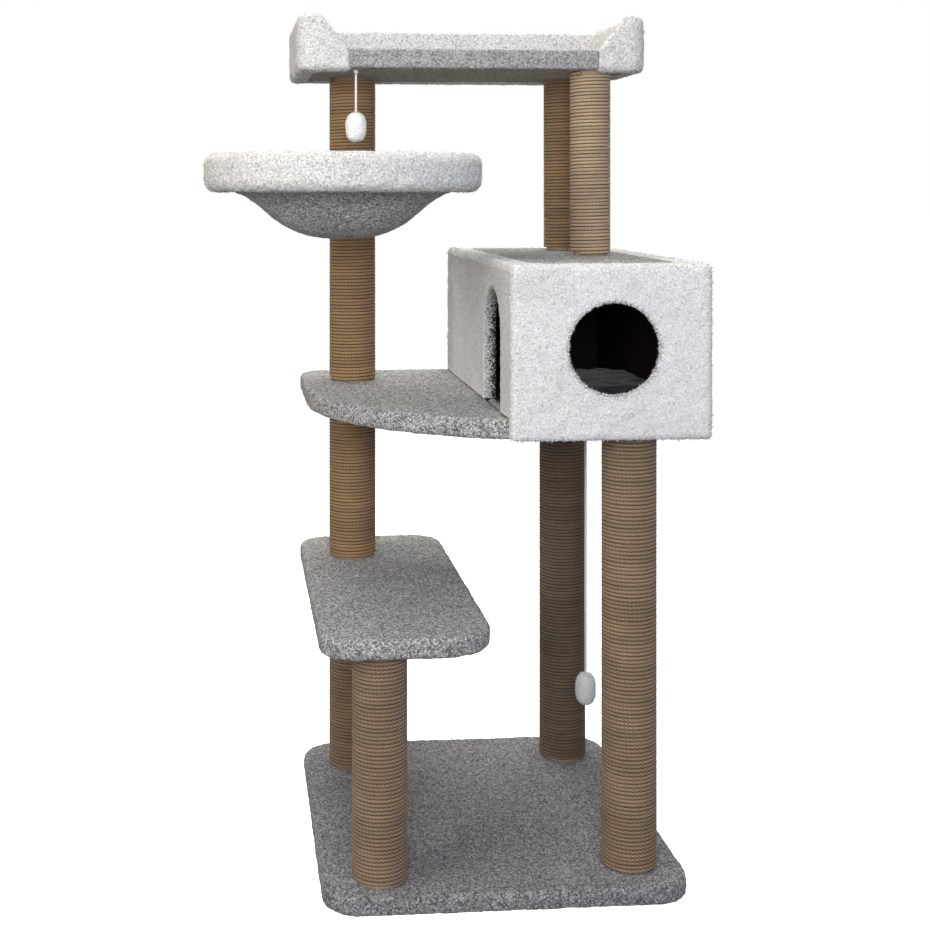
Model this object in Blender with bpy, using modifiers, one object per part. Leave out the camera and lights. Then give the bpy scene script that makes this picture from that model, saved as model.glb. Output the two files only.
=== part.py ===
"""Cat tree: a carpeted base with four rope-wrapped posts, a shelf, a platform with a
carpeted house, a hanging bowl bed, a raised tray bed and two toys on strings.

Frame: metres, +Z up, -Y is the front. The origin is the centre of the base's underside.
"""

import math

import bmesh
import bpy

GAP = 0.0003            # clearance between pieces that touch
CARPET = 0.0070         # carpet thickness, backing and pile
BOARD = 0.0180          # thickness of the shelf, platform and tray boards
WALL_BOARD = 0.0150     # thickness of the house panels

# Posts: (x, y) of each axis, and the round sizes.
TALL_POST = (-0.205, 0.202)
SHORT_POST = (-0.202, -0.236)
REAR_POST = (0.207, 0.210)
FRONT_POST = (0.210, -0.220)
ROOF_FRONT_POST = (0.210, 0.018)
CORE_RADIUS = 0.0380
ROOF_CORE_RADIUS = 0.0300
ROPE_THICKNESS = 0.0062
ROPE_END_GAP = 0.0015   # the winding stops this far from the boards
BOLT_RADIUS = 0.0040
BOLT_HOLE_RADIUS = 0.0046
BOLT_HEAD_RADIUS = 0.0105
BOLT_HEAD_HEIGHT = 0.0050
BOLT_GRIP = 0.0600      # length of thread inside a post core
BOLT_TIP = 0.0030       # height of a bolt's pointed tip
HEAD_EDGE = 0.0015      # chamfer round a bolt head
HEAD_CLEARANCE = 0.0010
BASE_RECESS = 0.0075    # depth of the head recesses under the base
BOARD_RECESS = 0.0060   # depth of the head recesses in the other boards
PAST = 0.0100           # how far a cutter reaches past the face it opens

# Heights of the levels (undersides) and of the finished top surfaces.
BASE_BOARD_TOP = 0.0205
SHELF_BOTTOM = 0.3950
PLATFORM_BOTTOM = 0.7320
HOUSE_TOP = 1.0110
TRAY_BOTTOM = 1.3420
BASE_TOP = BASE_BOARD_TOP + GAP + CARPET
SHELF_TOP = SHELF_BOTTOM + BOARD + 2 * (CARPET + GAP)
PLATFORM_BOARD_BOTTOM = PLATFORM_BOTTOM + CARPET + GAP
PLATFORM_BOARD_TOP = PLATFORM_BOARD_BOTTOM + BOARD
PLATFORM_TOP = PLATFORM_BOARD_TOP + GAP + CARPET

# Plan outlines, given over the carpet.
BASE_HALF_X = 0.2955
BASE_HALF_Y = 0.3015
BASE_CORNER = 0.060
SHELF_LEFT, SHELF_RIGHT = -0.300, -0.020
SHELF_FRONT, SHELF_BACK = -0.298, 0.345
SHELF_CORNERS = (0.055, 0.085, 0.050, 0.050)     # front left, front right, back right, back left
PLATFORM_LEFT, PLATFORM_BACK = -0.300, 0.335
PLATFORM_ARC_CENTRE = (0.084, 0.0855)
PLATFORM_ARC_Y = 0.366                           # front radius of the elliptical edge
PLATFORM_BACK_CORNER = 0.045

# House, given over the carpet.
HOUSE_LEFT, HOUSE_RIGHT = 0.0, 0.326
HOUSE_FRONT, HOUSE_BACK = -0.2945, 0.335
HOUSE_CORNER = 0.012
PORTHOLE_CENTRE = (0.1645, 0.8775)               # x and z
PORTHOLE_RADIUS = 0.0722
PANEL_HOLE_MARGIN = 0.004                        # the hole in the panel behind the carpet is larger
DOOR_FRONT, DOOR_BACK = -0.2025, -0.0605         # y of the jambs in the left wall
DOOR_TOP = 0.9660
ROOF_INSET = 0.040

# Bowl bed, held against the front of the tall post.
BOWL_TURN = math.radians(8.73)                   # how far the bowl stands left of straight ahead
BOWL_RADIUS = 0.2370
BOWL_TOP, BOWL_RIM_BOTTOM = 1.1890, 1.1255
BOWL_RIM_WIDTH = 0.0500
BOWL_RIM_ROUND = 0.0160
BOWL_HOOP_WIDTH = 0.0270
BOWL_SKIN = 0.0080
BOWL_SKIN_TOP = 1.1740
BOWL_BOLT_HEIGHTS = (1.1460, 1.1680)
BOWL_BOLT_RADIUS = 0.0030
BOWL_BOLT_HEAD = 0.0070
BOWL_POST_GAP = 0.0010                           # between the rim and the post it is bolted to
BOWL_STEPS = 32

# Tray bed.
TRAY_LEFT, TRAY_RIGHT = -0.323, 0.303
TRAY_FRONT, TRAY_BACK = -0.027, 0.300
TRAY_CORNER = 0.030
TRAY_RIM_TOP = 1.4400
TRAY_STRIP_TOP = 1.3770
TRAY_WALL = 0.0060                               # bent strip round the tray board
NOTCH_LEFT, NOTCH_RIGHT = -0.232, 0.216          # the low stretch of the front wall
NOTCH_SLOPE = 0.046                              # how far each side of the notch leans out

# Cushion on the house floor.
CUSHION_LOW = (0.030, -0.262)
CUSHION_HIGH = (0.292, 0.020)
CUSHION_THICKNESS = 0.048

# Toys: (x, y) of each string, and the heights.
TRAY_TOY = (-0.218, -0.006)
HOUSE_TOY = (0.197, 0.000)
STRING_RADIUS = 0.0021
KNOT_RADIUS = 0.0042                             # the knot turns about its own centre
TRAY_STRING_END = 1.2660
HOUSE_STRING_END = 0.2620
POMPOM_RADIUS = 0.0195
TRAY_POMPOM_HEIGHT = 0.0530
HOUSE_POMPOM_HEIGHT = 0.0580

OBJECT_NAME = "cat_tree"

# Finishes: base colour, roughness, metallic.
WHITE_CARPET = ((0.80, 0.80, 0.80), 0.95, 0.0)
GREY_CARPET = ((0.26, 0.26, 0.27), 0.95, 0.0)
ROPE = ((0.27, 0.17, 0.09), 0.90, 0.0)
CARDBOARD = ((0.42, 0.30, 0.18), 0.90, 0.0)
PLYWOOD = ((0.30, 0.20, 0.12), 0.75, 0.0)
DARK_BOARD = ((0.020, 0.009, 0.007), 0.75, 0.0)
UNDERSIDE = ((0.24, 0.20, 0.16), 0.75, 0.0)
STEEL = ((0.60, 0.60, 0.60), 0.35, 1.0)
FLEECE = ((0.10, 0.10, 0.11), 0.95, 0.0)
COTTON = ((0.85, 0.84, 0.82), 0.90, 0.0)


def clear_scene():
    for obj in list(bpy.data.objects):
        bpy.data.objects.remove(obj)


def make_collection(name, hidden=False):
    collection = bpy.data.collections.new(name)
    bpy.context.scene.collection.children.link(collection)
    collection.hide_render = hidden
    return collection


def finish_material(name, finish):
    colour, roughness, metallic = finish
    material = bpy.data.materials.new(name)
    material.use_nodes = True
    shader = material.node_tree.nodes["Principled BSDF"]
    shader.inputs["Base Color"].default_value = (*colour, 1.0)
    shader.inputs["Roughness"].default_value = roughness
    shader.inputs["Metallic"].default_value = metallic
    material.diffuse_color = (*colour, 1.0)
    return material


def put(obj, collection, finish=None):
    for old in list(obj.users_collection):
        old.objects.unlink(obj)
    collection.objects.link(obj)
    if finish:
        obj.data.materials.clear()
        obj.data.materials.append(finish_material(obj.name, finish))
    return obj


def arc(centre_x, centre_y, radius, start, end, steps):
    """Points on a round corner, from start to end in degrees."""
    points = []
    for i in range(steps + 1):
        angle = math.radians(start + (end - start) * i / steps)
        points.append((centre_x + radius * math.cos(angle), centre_y + radius * math.sin(angle)))
    return points


def rectangle(x0, y0, x1, y1, edge=0):
    x0, y0, x1, y1 = x0 + edge, y0 + edge, x1 - edge, y1 - edge
    return [(x0, y0), (x1, y0), (x1, y1), (x0, y1)]


def rounded_rectangle(x0, y0, x1, y1, corners, steps=6):
    """Outline with its own radius at the front left, front right, back right and back left."""
    if not isinstance(corners, tuple):
        corners = (corners,) * 4
    a, b, c, d = corners
    return (
        arc(x0 + a, y0 + a, a, 180, 270, steps)
        + arc(x1 - b, y0 + b, b, 270, 360, steps)
        + arc(x1 - c, y1 - c, c, 0, 90, steps)
        + arc(x0 + d, y1 - d, d, 90, 180, steps)
    )


def extruded(name, points, low, high, normal="Z"):
    """A solid plate from a flat outline, standing across the X, Y or Z axis."""
    curve = bpy.data.curves.new(name, "CURVE")
    curve.dimensions = "2D"
    curve.fill_mode = "BOTH"
    curve.extrude = (high - low) / 2
    spline = curve.splines.new("POLY")
    spline.points.add(len(points) - 1)
    for point, (x, y) in zip(spline.points, points):
        point.co = (x, y, 0, 1)
    spline.use_cyclic_u = True
    guide = bpy.data.objects.new(name + "_outline", curve)
    middle = (low + high) / 2
    if normal == "Z":
        guide.location = (0, 0, middle)
    elif normal == "Y":
        guide.rotation_euler = (math.radians(90), 0, 0)
        guide.location = (0, middle, 0)
    else:
        guide.rotation_euler = (math.radians(90), 0, math.radians(90))
        guide.location = (middle, 0, 0)
    bpy.context.scene.collection.objects.link(guide)
    bpy.context.view_layer.update()
    mesh = bpy.data.meshes.new_from_object(guide.evaluated_get(bpy.context.evaluated_depsgraph_get()))
    mesh.transform(guide.matrix_world)
    bpy.data.objects.remove(guide)
    shell = bmesh.new()
    shell.from_mesh(mesh)
    bmesh.ops.remove_doubles(shell, verts=shell.verts, dist=0.00001)
    bmesh.ops.recalc_face_normals(shell, faces=shell.faces)
    shell.to_mesh(mesh)
    shell.free()
    mesh.name = name
    return bpy.data.objects.new(name, mesh)


def turned(name, profile, x, y, steps):
    """A turned shape from a profile of (radius, z), which runs down its outer side."""
    mesh = bpy.data.meshes.new(name)
    vertices = [(radius, 0, z) for radius, z in profile]
    open_ends = profile[0][0] == 0 and profile[-1][0] == 0
    edges = [(i, i + 1) for i in range(len(profile) - 1)]
    if not open_ends:
        edges.append((len(profile) - 1, 0))
    mesh.from_pydata(vertices, edges, [])
    obj = bpy.data.objects.new(name, mesh)
    obj.location = (x, y, 0)
    screw = obj.modifiers.new("Turned", "SCREW")
    screw.steps = steps
    screw.render_steps = steps
    screw.use_merge_vertices = True
    screw.merge_threshold = 0.00001
    screw.use_smooth_shade = False
    return obj


def cut(target, cutter):
    """Takes the cutter's shape out of the target."""
    put(cutter, CUTTERS)
    cutter.display_type = "WIRE"
    cutter.hide_render = True
    boolean = target.modifiers.new(cutter.name, "BOOLEAN")
    boolean.operation = "DIFFERENCE"
    boolean.solver = "EXACT"
    boolean.object = cutter


def bolt_hole(target, x, y, low, high):
    profile = [(0, high), (BOLT_HOLE_RADIUS, high), (BOLT_HOLE_RADIUS, low), (0, low)]
    cut(target, turned(target.name + "_hole", profile, x, y, 12))


def head_recess(target, x, y, low, high):
    radius = BOLT_HEAD_RADIUS + HEAD_CLEARANCE
    profile = [(0, high), (radius, high), (radius, low), (0, low)]
    cut(target, turned(target.name + "_recess", profile, x, y, 16))


def base_outline(edge):
    return rounded_rectangle(
        -BASE_HALF_X + edge, -BASE_HALF_Y + edge, BASE_HALF_X - edge, BASE_HALF_Y - edge, BASE_CORNER - edge
    )


def shelf_outline(edge):
    corners = tuple(corner - edge for corner in SHELF_CORNERS)
    return rounded_rectangle(
        SHELF_LEFT + edge, SHELF_FRONT + edge, SHELF_RIGHT - edge, SHELF_BACK - edge, corners
    )


def platform_arc(edge, end_x):
    """The curved front edge of the platform, from its left side round to end_x."""
    centre_x, centre_y = PLATFORM_ARC_CENTRE
    radius_x = centre_x - PLATFORM_LEFT - edge
    radius_y = PLATFORM_ARC_Y - edge
    last = 360 - math.degrees(math.acos((end_x - centre_x) / radius_x))
    angles = [180 + 3 * i for i in range(math.ceil((last - 180) / 3))]
    points = []
    for degrees in angles + [last]:
        angle = math.radians(degrees)
        points.append((centre_x + radius_x * math.cos(angle), centre_y + radius_y * math.sin(angle)))
    return points


def platform_leaf_outline(edge, end_x):
    """The grey leaf of the platform, left of the house, as far as end_x."""
    corner = PLATFORM_BACK_CORNER - edge
    left = PLATFORM_LEFT + edge
    back = PLATFORM_BACK - edge
    return (
        platform_arc(edge, end_x)
        + [(end_x, back)]
        + arc(left + corner, back - corner, corner, 90, 180, 5)
    )


def platform_board_outline():
    """The whole platform board: the leaf and the floor of the house in one piece."""
    edge = CARPET + GAP
    left = PLATFORM_LEFT + edge
    back = PLATFORM_BACK - edge
    corner = PLATFORM_BACK_CORNER - edge
    front = HOUSE_FRONT + edge
    right = HOUSE_RIGHT - edge
    step = HOUSE_LEFT + edge
    return (
        platform_arc(edge, step)
        + [(step, front), (right, front), (right, back)]
        + arc(left + corner, back - corner, corner, 90, 180, 5)
    )


def make_base():
    board = put(extruded("base_board", base_outline(CARPET + GAP), 0, BASE_BOARD_TOP), PARTS, PLYWOOD)
    carpet = put(extruded("base_carpet", base_outline(0), 0, BASE_TOP), PARTS, GREY_CARPET)
    cut(carpet, extruded("base_carpet_hollow", base_outline(CARPET), -PAST, BASE_TOP - CARPET))
    for x, y in (TALL_POST, SHORT_POST, REAR_POST, FRONT_POST):
        bolt_hole(board, x, y, -PAST, BASE_TOP + PAST)
        head_recess(board, x, y, -PAST, BASE_RECESS)
        bolt_hole(carpet, x, y, -PAST, BASE_TOP + PAST)


def make_shelf():
    low = SHELF_BOTTOM + CARPET + GAP
    board = put(extruded("shelf_board", shelf_outline(CARPET + GAP), low, low + BOARD), PARTS, PLYWOOD)
    carpet = put(extruded("shelf_carpet", shelf_outline(0), SHELF_BOTTOM, SHELF_TOP), PARTS, GREY_CARPET)
    inside = shelf_outline(CARPET)
    cut(carpet, extruded("shelf_carpet_hollow", inside, SHELF_BOTTOM + CARPET, SHELF_TOP - CARPET))
    x, y = TALL_POST
    bolt_hole(board, x, y, SHELF_BOTTOM, SHELF_TOP)
    bolt_hole(carpet, x, y, SHELF_BOTTOM - PAST, SHELF_TOP + PAST)
    x, y = SHORT_POST
    bolt_hole(board, x, y, SHELF_BOTTOM, SHELF_TOP)
    head_recess(board, x, y, low + BOARD - BOARD_RECESS, SHELF_TOP + PAST)
    bolt_hole(carpet, x, y, SHELF_BOTTOM - PAST, SHELF_BOTTOM + PAST)


def make_platform():
    board = put(
        extruded("platform_board", platform_board_outline(), PLATFORM_BOARD_BOTTOM, PLATFORM_BOARD_TOP),
        PARTS,
        PLYWOOD,
    )
    leaf_end = HOUSE_LEFT - GAP
    carpet = put(
        extruded("platform_carpet", platform_leaf_outline(0, leaf_end), PLATFORM_BOTTOM, PLATFORM_TOP),
        PARTS,
        GREY_CARPET,
    )
    cut(
        carpet,
        extruded(
            "platform_carpet_hollow",
            platform_leaf_outline(CARPET, 0.05),
            PLATFORM_BOTTOM + CARPET,
            PLATFORM_TOP - CARPET,
        ),
    )
    x, y = TALL_POST
    bolt_hole(board, x, y, PLATFORM_BOTTOM, PLATFORM_TOP)
    bolt_hole(carpet, x, y, PLATFORM_BOTTOM - PAST, PLATFORM_TOP + PAST)
    for x, y in (REAR_POST, FRONT_POST):
        bolt_hole(board, x, y, PLATFORM_BOTTOM, PLATFORM_TOP)
        head_recess(board, x, y, PLATFORM_BOARD_TOP - BOARD_RECESS, PLATFORM_TOP + PAST)


def rope_radius(core_radius):
    return core_radius + ROPE_THICKNESS + GAP


def core_profile(radius, low, high):
    hole = BOLT_HOLE_RADIUS
    depth = BOLT_GRIP + 0.004
    return [
        (0, high - depth), (hole, high - depth), (hole, high), (radius, high),
        (radius, low), (hole, low), (hole, low + depth), (0, low + depth),
    ]


def make_post(name, place, low, high, radius):
    """One post section: a drilled core with the rope wound round it."""
    x, y = place
    core = turned(name + "_core", core_profile(radius, low + GAP, high - GAP), x, y, 16)
    put(core, PARTS, CARDBOARD)
    inner = radius + 0.0006
    outer = rope_radius(radius)
    bottom = low + ROPE_END_GAP
    top = high - ROPE_END_GAP
    sleeve = [(outer, top), (outer, bottom), (inner, bottom), (inner, top)]
    rope = turned(name + "_rope", sleeve, x, y, 24)
    put(rope, PARTS, ROPE)


def make_posts():
    make_post("tall_post_lower", TALL_POST, BASE_TOP, SHELF_BOTTOM, CORE_RADIUS)
    make_post("tall_post_middle", TALL_POST, SHELF_TOP, PLATFORM_BOTTOM, CORE_RADIUS)
    make_post("tall_post_upper", TALL_POST, PLATFORM_TOP, TRAY_BOTTOM, CORE_RADIUS)
    make_post("short_post", SHORT_POST, BASE_TOP, SHELF_BOTTOM, CORE_RADIUS)
    make_post("rear_post", REAR_POST, BASE_TOP, PLATFORM_BOARD_BOTTOM, CORE_RADIUS)
    make_post("front_post", FRONT_POST, BASE_TOP, PLATFORM_BOARD_BOTTOM, CORE_RADIUS)
    make_post("roof_post_front", ROOF_FRONT_POST, HOUSE_TOP, TRAY_BOTTOM, ROOF_CORE_RADIUS)
    make_post("roof_post_rear", REAR_POST, HOUSE_TOP, TRAY_BOTTOM, ROOF_CORE_RADIUS)


def bolt_down(name, place, head_bottom, tip):
    """A bolt whose head is on top and whose shank points down."""
    x, y = place
    top = head_bottom + BOLT_HEAD_HEIGHT
    profile = [
        (0, top), (BOLT_HEAD_RADIUS - HEAD_EDGE, top), (BOLT_HEAD_RADIUS, top - HEAD_EDGE),
        (BOLT_HEAD_RADIUS, head_bottom), (BOLT_RADIUS, head_bottom), (BOLT_RADIUS, tip + BOLT_TIP), (0, tip),
    ]
    put(turned(name, profile, x, y, 12), PARTS, STEEL)


def bolt_up(name, place, head_top, tip):
    """A bolt whose head is below and whose shank points up."""
    x, y = place
    low = head_top - BOLT_HEAD_HEIGHT
    profile = [
        (0, tip), (BOLT_RADIUS, tip - BOLT_TIP), (BOLT_RADIUS, head_top), (BOLT_HEAD_RADIUS, head_top),
        (BOLT_HEAD_RADIUS, low + HEAD_EDGE), (BOLT_HEAD_RADIUS - HEAD_EDGE, low), (0, low),
    ]
    put(turned(name, profile, x, y, 12), PARTS, STEEL)


def stud(name, place, low, high):
    """A double-ended stud that joins two post sections through a board."""
    x, y = place
    profile = [
        (0, high), (BOLT_RADIUS - HEAD_EDGE, high), (BOLT_RADIUS, high - HEAD_EDGE),
        (BOLT_RADIUS, low + HEAD_EDGE), (BOLT_RADIUS - HEAD_EDGE, low), (0, low),
    ]
    put(turned(name, profile, x, y, 12), PARTS, STEEL)


def make_fasteners():
    base_posts = (
        ("tall", TALL_POST), ("short", SHORT_POST), ("rear", REAR_POST), ("front", FRONT_POST),
    )
    for name, place in base_posts:
        bolt_up("base_bolt_" + name, place, BASE_RECESS - GAP, BASE_TOP + BOLT_GRIP)
    shelf_board_top = SHELF_TOP - CARPET - GAP
    seat = shelf_board_top - BOARD_RECESS + GAP
    bolt_down("shelf_bolt_short", SHORT_POST, seat, SHELF_BOTTOM - BOLT_GRIP)
    stud("shelf_stud", TALL_POST, SHELF_BOTTOM - BOLT_GRIP, SHELF_TOP + BOLT_GRIP)
    stud("platform_stud", TALL_POST, PLATFORM_BOTTOM - BOLT_GRIP, PLATFORM_TOP + BOLT_GRIP)
    seat = PLATFORM_BOARD_TOP - BOARD_RECESS + GAP
    for name, place in (("rear", REAR_POST), ("front", FRONT_POST)):
        bolt_down("platform_bolt_" + name, place, seat, PLATFORM_BOARD_BOTTOM - BOLT_GRIP)
    roof_underside = HOUSE_TOP - CARPET - GAP - WALL_BOARD
    for name, place in (("front", ROOF_FRONT_POST), ("rear", REAR_POST)):
        bolt_up("roof_bolt_" + name, place, roof_underside - GAP, HOUSE_TOP + BOLT_GRIP)
    seat = TRAY_BOTTOM + BOARD - BOARD_RECESS + GAP
    tray_posts = (("tall", TALL_POST), ("front", ROOF_FRONT_POST), ("rear", REAR_POST))
    for name, place in tray_posts:
        bolt_down("tray_bolt_" + name, place, seat, TRAY_BOTTOM - BOLT_GRIP)


def door_outline():
    """An arched doorway: straight jambs and a round top, as (y, z) points."""
    radius = (DOOR_BACK - DOOR_FRONT) / 2
    middle = (DOOR_BACK + DOOR_FRONT) / 2
    floor = PLATFORM_BOARD_TOP - 2 * PAST
    return arc(middle, DOOR_TOP - radius, radius, 0, 180, 16) + [(DOOR_FRONT, floor), (DOOR_BACK, floor)]


def make_house_panels():
    """Four walls that stand on the platform board, under one roof panel."""
    skin = CARPET + GAP
    left, right = HOUSE_LEFT + skin, HOUSE_RIGHT - skin
    front, back = HOUSE_FRONT + skin, HOUSE_BACK - skin
    low = PLATFORM_BOARD_TOP + GAP
    high = HOUSE_TOP - skin - WALL_BOARD - GAP

    def upright(name, x0, x1, y0, y1):
        outline = [(x0, y0), (x1, y0), (x1, y1), (x0, y1)]
        return put(extruded(name, outline, low, high), PARTS, DARK_BOARD)

    front_panel = upright("house_front_panel", left, right, front, front + WALL_BOARD)
    upright("house_back_panel", left, right, back - WALL_BOARD, back)
    inner_front = front + WALL_BOARD + GAP
    inner_back = back - WALL_BOARD - GAP
    left_panel = upright("house_left_panel", left, left + WALL_BOARD, inner_front, inner_back)
    upright("house_right_panel", right - WALL_BOARD, right, inner_front, inner_back)
    cut(front_panel, round_cutter("front_panel_porthole", PORTHOLE_RADIUS + PANEL_HOLE_MARGIN))
    cut(left_panel, extruded("left_panel_door", door_outline(), -5 * PAST, 5 * PAST, "X"))
    roof_low = high + GAP
    lid = rectangle(left, front, right, back)
    roof = put(extruded("house_roof_panel", lid, roof_low, roof_low + WALL_BOARD), PARTS, DARK_BOARD)
    for x, y in (ROOF_FRONT_POST, REAR_POST):
        bolt_hole(roof, x, y, roof_low - PAST, HOUSE_TOP + PAST)


def round_cutter(name, radius):
    """A round punch through the front wall of the house."""
    x, z = PORTHOLE_CENTRE
    outline = arc(x, z, radius, 0, 348.75, 31)
    return extruded(name, outline, HOUSE_FRONT - 3 * PAST, HOUSE_FRONT + 5 * PAST, "Y")


def roof_inset_outline(edge):
    """The grey field in the middle of the roof."""
    inset = ROOF_INSET + edge
    left, right = HOUSE_LEFT + inset, HOUSE_RIGHT - inset
    return rounded_rectangle(left, HOUSE_FRONT + inset, right, HOUSE_BACK - inset, 0.01, 3)


def make_house_cover():
    """The white carpet over the walls and the border of the roof, in one piece."""
    outline = rounded_rectangle(HOUSE_LEFT, HOUSE_FRONT, HOUSE_RIGHT, HOUSE_BACK, HOUSE_CORNER, 4)
    cover = put(extruded("house_cover", outline, PLATFORM_BOTTOM, HOUSE_TOP), PARTS, WHITE_CARPET)
    hollow = rectangle(HOUSE_LEFT, HOUSE_FRONT, HOUSE_RIGHT, HOUSE_BACK, CARPET)
    cut(cover, extruded("house_cover_hollow", hollow, PLATFORM_BOTTOM - PAST, HOUSE_TOP - CARPET))
    window = roof_inset_outline(0)
    cut(cover, extruded("house_cover_window", window, HOUSE_TOP - 2 * PAST, HOUSE_TOP + PAST))
    passage = rectangle(
        HOUSE_LEFT - PAST, platform_front_at(HOUSE_LEFT) - GAP, HOUSE_LEFT + 2 * PAST, HOUSE_BACK + PAST
    )
    cut(cover, extruded("house_cover_passage", passage, PLATFORM_BOTTOM - PAST, PLATFORM_TOP + GAP))
    cut(cover, round_cutter("cover_porthole", PORTHOLE_RADIUS))
    cut(cover, extruded("cover_door", door_outline(), -5 * PAST, 5 * PAST, "X"))
    roof_carpet = extruded("roof_carpet", roof_inset_outline(GAP), HOUSE_TOP - CARPET, HOUSE_TOP - GAP)
    put(roof_carpet, PARTS, GREY_CARPET)
    for x, y in (ROOF_FRONT_POST, REAR_POST):
        bolt_hole(roof_carpet, x, y, HOUSE_TOP - 2 * PAST, HOUSE_TOP + PAST)


def platform_front_at(x):
    """The y of the platform leaf's front edge at this x."""
    return platform_arc(0, x)[-1][1]


def bowl_centre():
    reach = BOWL_RADIUS + rope_radius(CORE_RADIUS) + BOWL_POST_GAP
    x, y = TALL_POST
    return x - reach * math.sin(BOWL_TURN), y - reach * math.cos(BOWL_TURN)


def rim_section(edge, slit):
    """Half section of the padded rim, inset by edge, open between two points by a slit below."""
    inner, outer = BOWL_RADIUS - BOWL_RIM_WIDTH + edge, BOWL_RADIUS - edge
    low, high = BOWL_RIM_BOTTOM + edge, BOWL_TOP - edge
    corner = BOWL_RIM_ROUND - edge
    middle = (inner + outer) / 2
    section = [(middle + slit, low)]
    section += arc(outer - corner, low + corner, corner, 270, 360, 2)
    section += arc(outer - corner, high - corner, corner, 0, 90, 2)
    section += arc(inner + corner, high - corner, corner, 90, 180, 2)
    section += arc(inner + corner, low + corner, corner, 180, 270, 2)
    section.append((middle - slit, low))
    return section


def offset_inward(points, distance):
    """A profile moved by this distance towards the inside of a bowl."""
    moved = []
    for i, (r, z) in enumerate(points):
        before = points[max(i - 1, 0)]
        after = points[min(i + 1, len(points) - 1)]
        along_r, along_z = after[0] - before[0], after[1] - before[1]
        length = math.hypot(along_r, along_z)
        moved.append((max(r + distance * along_z / length, 0.0), z - distance * along_r / length))
    return moved


def bowl_profile():
    """The outside of the hanging bowl, from its top edge down to the axis."""
    inner = BOWL_RADIUS - BOWL_RIM_WIDTH - GAP
    return [
        (inner, BOWL_SKIN_TOP), (inner, 1.1290), (0.1700, 1.1200), (0.1480, 1.1070),
        (0.1250, 1.0880), (0.1000, 1.0685), (0.0650, 1.0535), (0.0000, 1.0455),
    ]


def bowl_bolt_cutter(name, height, radius, start, end):
    """A rod along the line from the bowl's centre to the tall post, by distance from the centre."""
    centre_x, centre_y = bowl_centre()
    middle = (start + end) / 2
    bpy.ops.mesh.primitive_cylinder_add(vertices=12, radius=radius, depth=end - start)
    rod = bpy.context.active_object
    rod.name = name
    rod.rotation_euler = (math.radians(-90), 0, -BOWL_TURN)
    rod.location = (
        centre_x + middle * math.sin(BOWL_TURN), centre_y + middle * math.cos(BOWL_TURN), height
    )
    return rod


def make_bowl():
    x, y = bowl_centre()
    rim_profile = rim_section(0, 0.002)[::-1] + rim_section(CARPET, 0.002)
    rim = put(turned("bowl_rim_carpet", rim_profile, x, y, BOWL_STEPS), PARTS, WHITE_CARPET)
    outer = BOWL_RADIUS - CARPET - 0.0030
    inner = outer - BOWL_HOOP_WIDTH
    low, high = BOWL_RIM_BOTTOM + CARPET + 0.0005, BOWL_TOP - CARPET - 0.0005
    chamfer = 0.007
    hoop_profile = [
        (outer - chamfer, high), (outer, high - chamfer), (outer, low + chamfer), (outer - chamfer, low),
        (inner + chamfer, low), (inner, low + chamfer), (inner, high - chamfer), (inner + chamfer, high),
    ]
    hoop = put(turned("bowl_hoop", hoop_profile, x, y, BOWL_STEPS), PARTS, PLYWOOD)
    outside = bowl_profile()
    inside = offset_inward(outside, BOWL_SKIN)
    inside[0] = (inside[0][0], BOWL_SKIN_TOP)
    inside[-1] = (0.0, outside[-1][1] + BOWL_SKIN)
    put(turned("bowl_skin", inside[::-1] + outside, x, y, BOWL_STEPS), PARTS, GREY_CARPET)
    head_start = inner - 0.0046
    hole = BOWL_BOLT_RADIUS + 0.0006
    tip = BOWL_RADIUS + BOWL_POST_GAP + 0.0300
    post = [bpy.data.objects["tall_post_upper_" + layer] for layer in ("rope", "core")]
    for place, height in zip(("lower", "upper"), BOWL_BOLT_HEIGHTS):
        for target in (rim, hoop, *post):
            start = inner - PAST if target is hoop else outer - 0.001
            cut(target, bowl_bolt_cutter(target.name + "_bore_" + place, height, hole, start, tip + 0.002))
        make_bowl_bolt("bowl_bolt_" + place, height, head_start, inner - 0.0012, tip)


def make_bowl_bolt(name, height, head_start, head_end, tip):
    centre_x, centre_y = bowl_centre()
    length = tip - head_start
    head = head_end - head_start
    profile = [
        (0, length), (BOWL_BOLT_RADIUS, length - BOLT_TIP), (BOWL_BOLT_RADIUS, head), (BOWL_BOLT_HEAD, head),
        (BOWL_BOLT_HEAD, 0.0010), (BOWL_BOLT_HEAD - 0.0010, 0), (0, 0),
    ]
    bolt = put(turned(name, profile, 0, 0, 12), PARTS, STEEL)
    bolt.rotation_euler = (math.radians(-90), 0, -BOWL_TURN)
    bolt.location = (
        centre_x + head_start * math.sin(BOWL_TURN), centre_y + head_start * math.cos(BOWL_TURN), height
    )


def tray_outline(edge):
    return rounded_rectangle(
        TRAY_LEFT + edge, TRAY_FRONT + edge, TRAY_RIGHT - edge, TRAY_BACK - edge, TRAY_CORNER - edge, 5
    )


def notch_outline(edge, low, floor):
    """The notch of the front wall as (x, z) points; edge widens it, and floor is its low stretch."""
    left, right = NOTCH_LEFT - edge, NOTCH_RIGHT + edge
    shoulder = TRAY_RIM_TOP - 0.008
    high = TRAY_RIM_TOP + 0.01
    points = [(right, floor), (right + NOTCH_SLOPE, shoulder), (right + NOTCH_SLOPE, high)]
    points += [(left - NOTCH_SLOPE, high), (left - NOTCH_SLOPE, shoulder), (left, floor)]
    if low < floor:
        points += [(left, low), (right, low)]
    return points


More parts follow.
